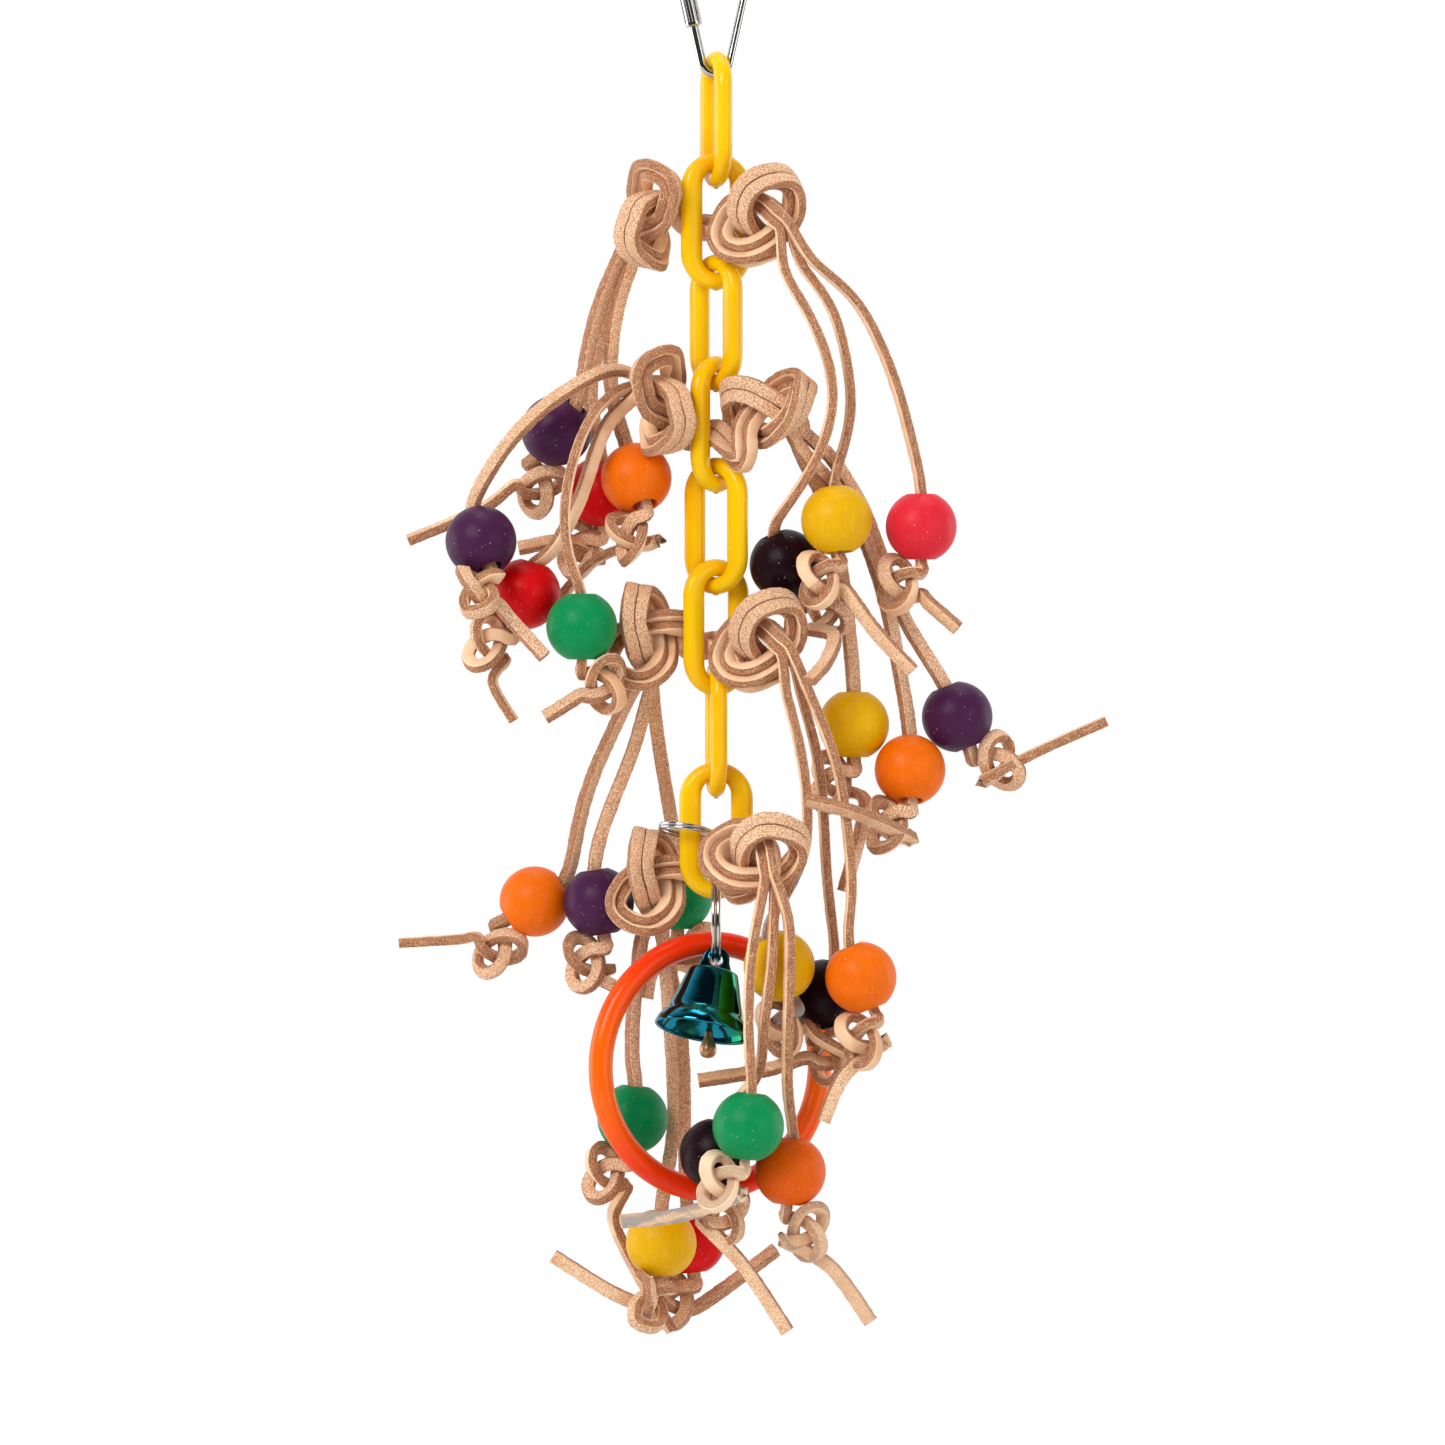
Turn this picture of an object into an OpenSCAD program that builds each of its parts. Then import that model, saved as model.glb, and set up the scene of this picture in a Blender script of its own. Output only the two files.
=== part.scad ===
// Hanging bird chew toy: a plastic chain with four tiers of knotted leather laces,
// dyed wooden beads on their ends, and a bell and a plastic ring at the bottom.
// Millimetres. +Z is up, the viewer of the main picture stands at -Y.
// The origin is the hang point, inside the top of the quick link.

/* [Quick link] */

// length of the quick link, outside
ql_length = 50; // [46:1:64]
// thickness of its wire
ql_wire = 2.5; // [2:0.1:3]
// radius of the small bend at its bottom, to the middle of the wire
ql_small = 4; // [3.9:0.1:4.4]
// radius of the large bend at its top, to the middle of the wire
ql_large = 11; // [9:0.5:13]
// outside diameter of the sleeve nut
nut_width = 4.8; // [4.4:0.1:6]
// length of the sleeve nut
nut_length = 13; // [10:0.5:15]

/* [Chain] */

// length of one chain link, outside
link_length = 38.4; // [36:0.2:42]
// width of one chain link, outside
link_width = 20.6; // [20:0.1:21.6]
// width of the long sides of a link
link_side = 6.15; // [5.6:0.05:6.3]
// width of the wire at the ends of a link
link_end = 4.75; // [4.7:0.05:5]
// thickness of a link, front to back
link_thick = 4.7; // [4.2:0.1:4.7]
// free room between two links where they hang in each other
link_gap = 0.3; // [0.2:0.05:0.6]

/* [Leather laces] */

// width of the lace
lace_wide = 3.2; // [2.8:0.1:3.3]
// thickness of the lace
lace_thick = 2.7; // [2.4:0.1:2.8]
// size of the small knot under each bead
small_knot = 2.3; // [2.25:0.01:2.4]
// size of the big knots beside the chain
big_knot = 4.4; // [4.3:0.01:4.5]

/* [Beads] */

// diameter of a bead
bead_size = 20; // [18:0.1:20.4]
// diameter of the hole through a bead
bead_hole = 8; // [7:0.1:9]
// length of a bead along its hole
bead_length = 17.6; // [16:0.1:18]

/* [Play ring and bell] */

// outside diameter of the plastic play ring
ring_size = 76; // [74:0.5:78]
// thickness of the play ring
ring_thick = 6.8; // [6:0.1:7]
// diameter of the bell at its mouth
bell_size = 27.2; // [25:0.1:29]
// height of the bell without its eye
bell_height = 18; // [17:0.1:19]
// outside diameter of the split ring that carries the bell
carrier_size = 25; // [25:0.1:25.4]
// outside diameter of the small split ring on the last link
keeper_size = 16; // [15.6:0.1:17]

/* [Hidden] */

$fn = 48;

// colours of the parts
steel = [0.75, 0.76, 0.78];
yellow = [1, 0.82, 0.05];
leather = [0.78, 0.58, 0.4];
purple = [0.25, 0.14, 0.35];
orange = [1, 0.5, 0.08];
red = [0.85, 0.1, 0.2];
green = [0.1, 0.55, 0.35];
teal = [0.05, 0.35, 0.42];
brass = [0.7, 0.5, 0.25];

// heights: the hand-drawn routes are measured from a level above the origin
base_level = -62;
lift = -base_level - ql_length + ql_wire;
pitch = link_length - 2 * link_end - link_gap;
first_top = base_level + ql_wire + link_gap + link_end;
link_turns = [-74, 18, -50, 52, -34, 30, -84, 0];
link_round = link_thick / 2;

function link_top(n) = first_top - (n - 1) * pitch;
// each tier of laces and beads goes up or down with the link that it is threaded through;
// these are the tops of those links for which the routes were drawn
route_tops = [-83.05, -140.25, -197.45, -254.65];
function tier_shift(j) = [0, 0, link_top(2 * j + 2) - route_tops[j]];

// small helpers for curves
function unit(v) = v / norm(v);
function flat_to(v, t) = unit(v - (v * t) * t);
function backward(p) = [for (i = [len(p) - 1 : -1 : 0]) p[i]];
function part_of(p, a, b) = [for (i = [a : 1 : b]) p[i]];
function headings(p) = [for (i = [0 : len(p) - 1])
  unit(p[min(i + 1, len(p) - 1)] - p[max(i - 1, 0)])];

// side vectors carried along a curve without twist
function carry(t, u0) = [for (i = 0, u = flat_to(u0, t[0]); i < len(t);
  u = i + 1 < len(t) ? u - (u * t[i + 1]) / (1 + t[i] * t[i + 1]) * (t[i] + t[i + 1]) : u,
  i = i + 1) u];
// one more point between each two, on a smooth curve
function smooth(p) = [for (i = [0 : len(p) - 2], h = [0, 1])
  h == 0 ? p[i] : let (a = p[max(i - 1, 0)], b = p[i], c = p[i + 1], d = p[min(i + 2, len(p) - 1)])
    (9 * (b + c) - a - d) / 16];
function smooth_all(p) = concat(smooth(p), [p[len(p) - 1]]);

// an overhand knot, open at one lobe: x is where the lace comes in, y where the body lies
function knot_curve(size, rise, start, steps) = [for (i = [0 : steps])
  let (t = 180 + start + (360 - 2 * start) * i / steps, h = sin(3 * t))
    [size * (sin(t) + 2 * sin(2 * t)), size * (cos(t) - 2 * cos(2 * t)), rise * h * (0.6 * h * h - 1.6)]];
function placed(p, centre, x, y, hand) = let (ux = unit(x), uy = flat_to(y, ux), uz = hand * cross(ux, uy))
  [for (q = p) centre + q[0] * ux + q[1] * uy + q[2] * uz];

// big knots: centre, side the lace comes in from, side of the body, hand, roll of the bundle
big_rise = 4.2;
big_left = [
  [[-18.5, 3, -100.5], [-0.25, 0, -1], [0, -1, 0], 1, 210],
  [[-15.5, -3, -153], [-0.2, 0, 1], [0, -1, 0], -1, 330],
  [[-19, 4, -220], [-0.2, 0, -1], [-0.6, -1, 0], 1, 210],
  [[-17, 7, -289], [-0.2, 0, -1], [-0.6, -1, 0], 1, 210]
];
big_right = [
  [[13.5, -11.7, -103], [-0.85, 0.5, -0.15], [0, 0, 1], 1, 210],
  [[15, -11, -158], [-0.85, 0.5, -0.15], [0, 0, 1], -1, 330],
  [[14, -11.5, -222], [-0.85, 0.5, -0.15], [0, 0, 1], 1, 210],
  [[11.5, -22, -282.5], [-0.85, 0.5, -0.15], [0, 0, 1], 1, 210]
];
// the way from the left knot through the link to the right knot
through = [
  [[-12, 14, -98], [-8.5, 13, -103], [0, 0, -105], [4.5, -6, -110.5], [9, -6.5, -112.5]],
  [[-8, 10.5, -161], [-6, 10, -163.5], [0, 0, -162.5], [3.5, -6.5, -166.5], [7.5, -12, -170.5]],
  [[-11, 14, -217], [-8, 13, -222], [0, 0, -221.7], [5.7, -6.3, -229.8], [9.8, -7, -231.9]],
  [[-9, 16, -285], [-6, 13, -281], [0.3, 0, -280.5], [1, -8, -284.5], [5.5, -15.5, -291.2]]
];
// place of the three laces in the bundle, side and height
spread = [[-1.8, -1.5], [1.8, -1.5], [0, 1.5]];
big_steps = 22;
function big_curve(k) = placed(knot_curve(big_knot, big_rise, 34, big_steps), k[0], k[1], k[2], k[3]);
function bundle(j) = let (a = big_curve(big_left[j]), b = big_curve(big_right[j]),
    w = smooth_all(concat([a[big_steps]], through[j], [b[0]])))
  concat(a, part_of(w, 1, len(w) - 2), b);
// side vectors of the bundle: set in each knot, turned evenly between them
function rolled(u, t, r) = cos(r) * u + sin(r) * cross(t, u);
function knot_sides(t, k) = let (u = carry(t, k[3] * cross(unit(k[1]), k[2])))
  [for (i = [0 : len(t) - 1]) rolled(u[i], t[i], k[4])];
function bundle_sides(j) = let (t = headings(bundle(j)), n = len(t) - 1, a = big_steps, b = n - big_steps,
    left = knot_sides(part_of(t, 0, a), big_left[j]),
    right = knot_sides(part_of(t, b, n), big_right[j]),
    middle = carry(part_of(t, a, b), left[a]), m = b - a,
    twist = atan2(right[0] * cross(t[b], middle[m]), right[0] * middle[m]))
  concat(left, [for (i = [1 : m - 1]) rolled(middle[i], t[a + i], twist * i / m)], right);

// lace ends: route to the bead, bead, aim of the bead, way the small knot faces, side, tail
ends_left = [
  [ // tier 1
    [[[-26, 13, -109], [-33, 12, -125], [-37, 9, -142]], [-45, 7, -161],
      [-0.8, 0.3, -1], [0.2, -1, 0], 1, [[-66, 10, -183], [-87, 10, -192]]],
    [[[-22, 13.5, -109], [-28, 12, -126], [-30, 10, -148]], [-22.5, 4, -174.5],
      [0.3, -0.5, -1], [0, -1, -0.5], -1, [[-33, 6, -197], [-44, 14.5, -208]]],
    [[[-25, 16, -107], [-30, 19, -127], [-36, 21, -148]], [-32.7, 21, -178],
      [0, 0.2, -1], [0, -1, 0], -1, [[-42, 21, -192], [-56, 20, -194]]]
  ],
  [ // tier 2
    [[[-19, 9, -148.5], [-25, 5, -149], [-31, -3, -152.5], [-37, -9, -161], [-42, -12, -178], [-42, -12, -195]], [-37.7, -10, -216.5],
      [0, 0, -1], [0, -1, 0], 1, [[-40, -12, -237], [-48, -12, -242]]],
    [[[-23, 6.5, -145], [-29, 2, -143.5], [-40, -8, -149], [-52, -11, -158], [-62, -11, -170]], [-66, -8, -192.5],
      [0.35, -0.5, -1], [0.6, -1, 0], -1, [[-58, -14, -214], [-48, -16, -225]]],
    [[[-23, 6, -152.5], [-28.5, 1, -156], [-33, -2, -164], [-38, -3, -180], [-47, -1, -197]], [-53.8, 3, -207.2],
      [-0.3, 0, -1], [0, -1, 0], -1, [[-63, 4, -232], [-57, 4, -243]]]
  ],
  [ // tier 3
    [[[-21.5, 16, -230], [-28, 20, -243], [-37, 24, -264]], [-51.5, 24, -294.2],
      [-1.6, 0, -1], [0, -1, 0], 1, [[-74, 24, -305], [-90, 24, -306]]],
    [[[-18, 15, -231], [-23, 17, -250], [-31, 17, -270]], [-33.2, 15.5, -294.2],
      [0.15, 0, -1], [0, -1, 0], -1, [[-34, 15, -315], [-29, 15, -318]]],
    [[[-18.5, 19, -228], [-17, 27, -245], [-13, 34, -270]], [-11, 36, -293],
      [0, 0, -1], [0, -1, 0], 1, [[-18, 36, -314], [-20, 36, -322]]]
  ],
  [ // tier 4
    [[[-20.5, 19, -300], [-23, 19, -320], [-24, 16, -338]], [-23.6, 11, -355.3],
      [-0.1, 0, -1], [0, -1, 0], -1, [[-29, 19, -384], [-23, 21, -398], [-12.5, 20, -416]]],
    [[[-15.5, 18, -300], [-13, 20, -330], [-12, 20, -358]], [-15.5, 9, -390.4],
      [0, 0, -1], [1, -0.6, 0], -1, [[-30, 9, -404], [-46, 9, -394]]],
    [[[-17, 21.5, -297], [-10, 25, -330], [-9, 28, -365]], [-7.3, 28, -390.4],
      [0.1, 0, -1], [0, -1, 0], -1, [[4, 27, -403], [17, 25, -393]]]
  ]
];
ends_right = [
  [ // tier 1
    [[[23, -15, -115], [33, -12, -128], [38, -10, -155]], [33.8, -11, -186.6],
      [0.1, -0.1, -1], [0, -1, 0], -1, [[44, -14, -217], [55, -13, -229]]],
    [[[26, -19, -114], [40, -12, -126], [51, -5, -150]], [57.7, -2, -188.3],
      [0, 0, -1], [0, -1, 0], -1, [[60, -4, -210], [68, -5, -217]]],
    [[[18, -17.5, -116], [28, -17, -133], [33, -17, -151], [29, -16, -168], [21, -11, -181]], [19.4, -1, -199],
      [0.4, 0.1, -1], [0, -1, 0], 1, [[33, -8, -219], [31, -20, -226], [26, -26, -232]]]
  ],
  [ // tier 2
    [[[31, -8, -167], [42, 9, -184], [52, 9, -212]], [68, 6, -241.8],
      [0.4, 0, -1], [0, -1, 0], 1, [[92, 4, -251], [110, 3, -243]]],
    [[[25, -14, -169], [38, 2, -183], [48, 5, -210]], [54.6, 1, -256.7],
      [0, -0.3, -1], [0, -1, 0], -1, [[40, -19, -269], [25, -23, -265]]],
    [[[24, -7, -169], [31, 4, -182], [36, 6, -205]], [38.8, 4, -244],
      [0, 0, -1], [0, -1, 0], -1, [[42, 3, -268], [36, 2, -291]]]
  ],
  [ // tier 3
    [[[23, -14, -233], [29, -7, -256], [31, -2, -285]], [30.5, -2, -320],
      [-0.3, -0.2, -1], [0, -1, 0], 1, [[14, -7, -341], [-5, -7, -344]]],
    [[[25, -19, -233], [34, -16, -256], [38, -18, -288]], [40.5, -19, -314.7],
      [0.4, 0, -1], [0, -1, 0], -1, [[36, -18, -342], [30, -18, -355]]],
    [[[19, -18, -234], [24, -15, -253], [25, -15, -280]], [17.7, -16, -311.6],
      [0.45, 0.2, -1], [0, -1, 0], -1, [[29, -13, -332], [38, -12, -337]]]
  ],
  [ // tier 4
    [[[16, -28.5, -298], [15.5, -29.5, -311], [13, -24, -330], [12, -19, -342]], [-0.3, -13, -364.3],
      [-0.2, -0.1, -1], [0, -1, 0], 1, [[8, -14, -396], [20, -14, -414]]],
    [[[20.5, -31, -298], [20.5, -30, -311], [20, -26, -330], [20, -19, -348]], [20.8, -12, -369.3],
      [-0.1, 0, -1], [0, -1, 0], 1, [[32, -11, -396], [43.4, -11, -411.5]]],
    [[[11.5, -31, -298], [9.5, -31, -311], [9, -29, -330]], [9, -28.5, -356],
      [-0.1, 0, -1], [0, -1, 0], -1, [[-10, -22, -381], [-26.7, -19, -383]]]
  ]
];

small_rise = 2.4;
small_steps = 19;
knot_reach = 16.2;
// one end of a lace from its big knot outward
function lace_end(e) = let (b = e[1], a = unit(e[2]), n = flat_to(e[3], a), q = e[4] * cross(n, a),
    k = b + knot_reach * a + 2 * small_knot * q)
  concat(smooth_all(concat(e[0], [b - 11 * a])), [b, b + 10 * a],
    placed(knot_curve(small_knot, small_rise, 27, small_steps), k, -a, q, 1), e[5]);

function lace_path(j, k) = let (c = bundle(j), t = headings(c), u = bundle_sides(j))
  concat(backward(lace_end(ends_left[j][k])),
    [for (i = [0 : len(c) - 1]) c[i] + spread[k][0] * u[i] + spread[k][1] * cross(t[i], u[i])],
    lace_end(ends_right[j][k]));
function lace_sides(p, j, k) = let (t = headings(p), n = len(p) - 1, u = bundle_sides(j),
    a = len(lace_end(ends_left[j][k])), b = a + len(u) - 1)
  concat(backward(part_of(carry(backward(part_of(t, 0, a)), u[0]), 1, a)),
    [for (i = [a : b]) flat_to(u[i - a], t[i])],
    part_of(carry(part_of(t, b, n), u[len(u) - 1]), 1, n - b));

// outline of the quick link: a small bend below, a large one above, straight legs between
ql_low = base_level + ql_wire / 2 + ql_small;
ql_high = base_level + ql_length - ql_wire / 2 - ql_large;
ql_lean = asin((ql_large - ql_small) / (ql_high - ql_low));
ql_leg = (ql_high - ql_low) * cos(ql_lean);
nut_from = 10.5;
nut_room = 0.2;

// along the left leg of the quick link, upward from the small bend
module left_leg() {
  translate([-ql_small * cos(ql_lean), 0, lift + ql_low - ql_small * sin(ql_lean)])
    rotate([0, -ql_lean, 0]) children();
}

// a leg, drawn a hair thicker than the bends and a little into them
module ql_stem() {
  left_leg() translate([0, 0, -0.2]) cylinder(d = ql_wire + 0.04, h = ql_leg + 0.4);
}

module quick_link() {
  color(steel) difference() {
    union() {
      translate([0, 0, lift + ql_high]) rotate([90, 0, 0]) rotate([0, 0, -ql_lean])
        rotate_extrude(angle = 180 + 2 * ql_lean) translate([ql_large, 0]) circle(d = ql_wire);
      translate([0, 0, lift + ql_low]) rotate([90, 0, 0]) rotate([0, 0, 180 + ql_lean])
        rotate_extrude(angle = 180 - 2 * ql_lean) translate([ql_small, 0]) circle(d = ql_wire);
      ql_stem();
      mirror([1, 0, 0]) ql_stem();
    }
    // the opening of the link, under the nut
    left_leg() translate([0, 0, nut_from + 4]) cylinder(d = ql_wire + 2, h = nut_length - 8);
  }
}

module quick_link_nut() {
  color(steel) left_leg() translate([0, 0, nut_from]) difference() {
    union() {
      cylinder(d1 = nut_width - 0.8, d2 = nut_width, h = 0.4);
      translate([0, 0, 0.4]) cylinder(d = nut_width, h = nut_length - 0.8);
      translate([0, 0, nut_length - 0.4]) cylinder(d1 = nut_width, d2 = nut_width - 0.8, h = 0.4);
    }
    translate([0, 0, -1]) cylinder(d = ql_wire + 2 * nut_room, h = nut_length + 2);
    for (i = [0 : 11]) rotate([0, 0, 30 * i]) translate([nut_width / 2 + 0.2, 0, 1.2])
      cylinder(d = 0.8, h = nut_length - 2.4);
  }
}

module chain_link(n) {
  outer = link_width / 2;
  inner = outer - link_side;
  straight = link_length / 2 - outer;
  hole_straight = link_length / 2 - link_end - inner;
  color(yellow) translate([0, 0, lift + link_top(n) - link_length / 2]) rotate([0, 0, link_turns[n - 1]])
    rotate([90, 0, 0]) difference() {
      union() {
        for (s = [1, -1]) translate([0, s * straight, 0]) rotate_extrude() {
          translate([outer - link_round, 0]) intersection() {
            circle(link_round);
            translate([0, -link_round]) square([link_round, link_thick]);
          }
          translate([0, -link_round]) square([outer - link_round, link_thick]);
        }
        rotate([90, 0, 0]) linear_extrude(2 * straight, center = true) {
          for (s = [1, -1]) translate([s * (outer - link_round), 0]) circle(link_round);
          square([2 * (outer - link_round), link_thick], center = true);
        }
      }
      link_hole(inner, hole_straight);
    }
}

// the inside of a chain link, with a rounded edge
module link_hole(inner, straight) {
  for (s = [1, -1]) translate([0, s * straight, 0]) rotate_extrude() hole_side(inner);
  rotate([90, 0, 0]) linear_extrude(2 * straight, center = true) {
    hole_side(inner);
    mirror([1, 0]) hole_side(inner);
  }
}

module hole_side(inner) {
  difference() {
    translate([0, -link_round - 1]) square([inner + link_round, link_thick + 2]);
    translate([inner + link_round, 0]) circle(link_round);
  }
}

module lace(j, k) {
  p = lace_path(j, k);
  n = len(p);
  t = headings(p);
  u = lace_sides(p, j, k);
  corners = [[1, 1], [-1, 1], [-1, -1], [1, -1]];
  points = [for (i = [0 : n - 1], q = corners)
    [0, 0, lift] + tier_shift(j) + p[i] + q[0] * lace_wide / 2 * u[i] + q[1] * lace_thick / 2 * cross(t[i], u[i])];
  sides = [for (i = [0 : n - 2], q = [0 : 3], h = [0, 1])
    let (a = 4 * i + q, b = 4 * i + (q + 1) % 4) h == 0 ? [a, b + 4, b] : [a, a + 4, b + 4]];
  ends = [[0, 1, 2], [0, 2, 3], [4 * n - 2, 4 * n - 3, 4 * n - 4], [4 * n - 1, 4 * n - 2, 4 * n - 4]];
  color(leather) polyhedron(points, concat(sides, ends));
}

// a bead in place, on end k of tier j
module bead(ends, j, k, paint) {
  e = ends[j][k];
  a = unit(e[2]);
  tilt = acos(-a[2]);
  turn = atan2(-a[1], -a[0]);
  color(paint) translate(e[1] + [0, 0, lift] + tier_shift(j)) rotate([0, tilt, turn]) difference() {
    intersection() {
      sphere(d = bead_size);
      cube([bead_size + 2, bead_size + 2, bead_length], center = true);
    }
    cylinder(d = bead_hole, h = bead_size + 2, center = true);
  }
}

// a split ring: two turns of wire side by side, each with one free end
module split_ring(size, wire) {
  difference() {
    rotate_extrude() for (s = [1, -1]) translate([(size - wire) / 2, s * wire * 0.48]) circle(d = wire);
    for (s = [1, -1]) rotate([0, 0, s * 9]) translate([(size - wire) / 2, 0, s * wire])
      cube([wire * 2, wire * 0.7, wire * 2 - 0.3], center = true);
  }
}

// the ring round the left side of the last link
keeper_at = [-(link_width - link_side) / 2 - 1.1, 0, link_top(8) - link_length / 2];
module keeper_ring() {
  color(steel) translate(keeper_at + [0, 0, lift]) rotate([-10, 9, 0]) rotate([0, 0, 200])
    split_ring(keeper_size, 1);
}

// the ring that hangs in the last link and carries the bell and the play ring
carrier_wire = 1.4;
carrier_z = link_top(8) - link_length + link_end + link_gap + carrier_wire - carrier_size / 2;
carrier_round = (carrier_size - carrier_wire) / 2;
module carrier_ring() {
  color(steel) translate([0, 0, lift + carrier_z]) rotate([0, 90, 0]) rotate([0, 0, 140])
    split_ring(carrier_size, carrier_wire);
}

// the play ring lies in the back half of the carrier ring, turned to the side
play_y = 2.5;
play_turn = 27;
play_round = (ring_size - ring_thick) / 2;
play_z = carrier_z - sqrt(pow(carrier_size / 2 - carrier_wire - ring_thick / 2 - 0.7, 2) - play_y * play_y);
module play_ring() {
  color(orange) translate([0, play_y, lift + play_z]) rotate([0, 0, play_turn])
    translate([-1.7, 0, -play_round]) rotate([90, 0, 0]) rotate_extrude()
      translate([play_round, 0]) circle(d = ring_thick);
}

// the bell hangs in the front half of the carrier ring
bell_y = -4.5;
bell_eye = 3.7;
bell_tilt = [-14, 11, 0];
bell_at = [0, bell_y, carrier_z - sqrt(carrier_round * carrier_round - bell_y * bell_y) - 0.2];
bell_wall = 0.8;
lug_round = 3.8;
lug_foot = 5.2;
lug_thick = 1.2;
bell_top = 3;
pin_at = bell_top + 3.4;
pin_size = 1.2;
// outline of the bell: part of its radius, part of its height
bell_line = [[0.42, 0], [0.5, 0.025], [0.535, 0.08], [0.6, 0.23], [0.67, 0.41], [0.745, 0.58],
  [0.8, 0.7], [0.895, 0.79], [0.965, 0.88], [1, 0.955], [0.995, 0.99], [0.97, 1]];
function bell_point(q, wall) = [q[0] * bell_size / 2 - wall, -bell_top - q[1] * bell_height];
module in_bell() {
  translate(bell_at + [0, 0, lift]) rotate(bell_tilt) children();
}
module bell() {
  outside = [for (q = bell_line) bell_point(q, 0)];
  inside = [for (i = [10 : -1 : 0]) bell_point(bell_line[i], bell_wall) - [0, i < 3 ? bell_wall : 0.1]];
  color(teal) in_bell() {
    difference() {
      union() {
        rotate([90, 0, 0]) linear_extrude(lug_thick, center = true) difference() {
          union() {
            circle(lug_round);
            polygon([[-lug_round + 0.1, 0], [lug_round - 0.1, 0],
              [lug_foot, -bell_top - 0.4], [-lug_foot, -bell_top - 0.4]]);
          }
          circle(d = bell_eye);
        }
        rotate_extrude() polygon(concat([[0, -bell_top]], outside, inside, [[0, -bell_top - bell_wall]]));
      }
    }
    translate([0, 0, -pin_at]) rotate([90, 0, 0]) cylinder(d = pin_size, h = bell_size * 0.56, center = true);
  }
}

// the clapper hangs straight down from the pin in the bell
clapper_long = 21.5;
clapper_stem = 2.2;
clapper_ball = 4.8;
module bell_clapper() {
  color(brass) in_bell() translate([0, 0, -pin_at]) rotate([0, -8, 0]) rotate([14, 0, 0]) {
    difference() {
      union() {
        rotate([90, 0, 0]) cylinder(d = 4, h = 1.4, center = true);
        translate([0, 0, -clapper_long + 3]) cylinder(d = clapper_stem, h = clapper_long - 4.4);
      }
      rotate([90, 0, 0]) cylinder(d = pin_size + 0.7, h = 4, center = true);
    }
    translate([0, 0, -clapper_long + 2.4]) sphere(d = clapper_ball);
    translate([0, 0, -clapper_long + 3.1]) cylinder(d1 = clapper_ball - 0.2, d2 = clapper_stem, h = 3.2);
  }
}

quick_link();
quick_link_nut();
chain_link(1);  // chain_link_1
chain_link(2);  // chain_link_2
chain_link(3);  // chain_link_3
chain_link(4);  // chain_link_4
chain_link(5);  // chain_link_5
chain_link(6);  // chain_link_6
chain_link(7);  // chain_link_7
chain_link(8);  // chain_link_8
lace(0, 0);  // lace_1a
lace(0, 1);  // lace_1b
lace(0, 2);  // lace_1c
lace(1, 0);  // lace_2a
lace(1, 1);  // lace_2b
lace(1, 2);  // lace_2c
lace(2, 0);  // lace_3a
lace(2, 1);  // lace_3b
lace(2, 2);  // lace_3c
lace(3, 0);  // lace_4a
lace(3, 1);  // lace_4b
lace(3, 2);  // lace_4c
bead(ends_left, 0, 0, purple);  // bead_1a_left
bead(ends_left, 0, 1, orange);  // bead_1b_left
bead(ends_left, 0, 2, red);  // bead_1c_left
bead(ends_left, 1, 0, green);  // bead_2a_left
bead(ends_left, 1, 1, purple);  // bead_2b_left
bead(ends_left, 1, 2, red);  // bead_2c_left
bead(ends_left, 2, 0, orange);  // bead_3a_left
bead(ends_left, 2, 1, purple);  // bead_3b_left
bead(ends_left, 2, 2, green);  // bead_3c_left
bead(ends_left, 3, 0, green);  // bead_4a_left
bead(ends_left, 3, 1, yellow);  // bead_4b_left
bead(ends_left, 3, 2, red);  // bead_4c_left
bead(ends_right, 0, 0, yellow);  // bead_1a_right
bead(ends_right, 0, 1, red);  // bead_1b_right
bead(ends_right, 0, 2, purple);  // bead_1c_right
bead(ends_right, 1, 0, purple);  // bead_2a_right
bead(ends_right, 1, 1, orange);  // bead_2b_right
bead(ends_right, 1, 2, yellow);  // bead_2c_right
bead(ends_right, 2, 0, purple);  // bead_3a_right
bead(ends_right, 2, 1, orange);  // bead_3b_right
bead(ends_right, 2, 2, yellow);  // bead_3c_right
bead(ends_right, 3, 0, purple);  // bead_4a_right
bead(ends_right, 3, 1, orange);  // bead_4b_right
bead(ends_right, 3, 2, green);  // bead_4c_right
keeper_ring();
carrier_ring();
bell();
bell_clapper();
play_ring();
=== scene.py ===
import bpy, bmesh, math, random
from mathutils import Matrix, Vector


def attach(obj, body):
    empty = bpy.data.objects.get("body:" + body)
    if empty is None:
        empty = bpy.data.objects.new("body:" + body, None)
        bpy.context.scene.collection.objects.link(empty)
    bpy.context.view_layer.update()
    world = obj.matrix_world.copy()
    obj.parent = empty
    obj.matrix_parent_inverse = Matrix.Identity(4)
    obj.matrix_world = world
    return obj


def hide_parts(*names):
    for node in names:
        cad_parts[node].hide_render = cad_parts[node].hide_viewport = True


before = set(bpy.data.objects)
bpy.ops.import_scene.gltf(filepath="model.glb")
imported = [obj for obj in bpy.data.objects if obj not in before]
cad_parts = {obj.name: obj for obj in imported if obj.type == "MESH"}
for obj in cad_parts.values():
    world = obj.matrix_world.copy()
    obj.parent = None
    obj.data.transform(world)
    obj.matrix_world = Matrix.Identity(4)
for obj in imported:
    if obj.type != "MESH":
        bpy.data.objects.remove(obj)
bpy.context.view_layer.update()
scene = bpy.context.scene
print("stage: frame loaded")

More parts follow.
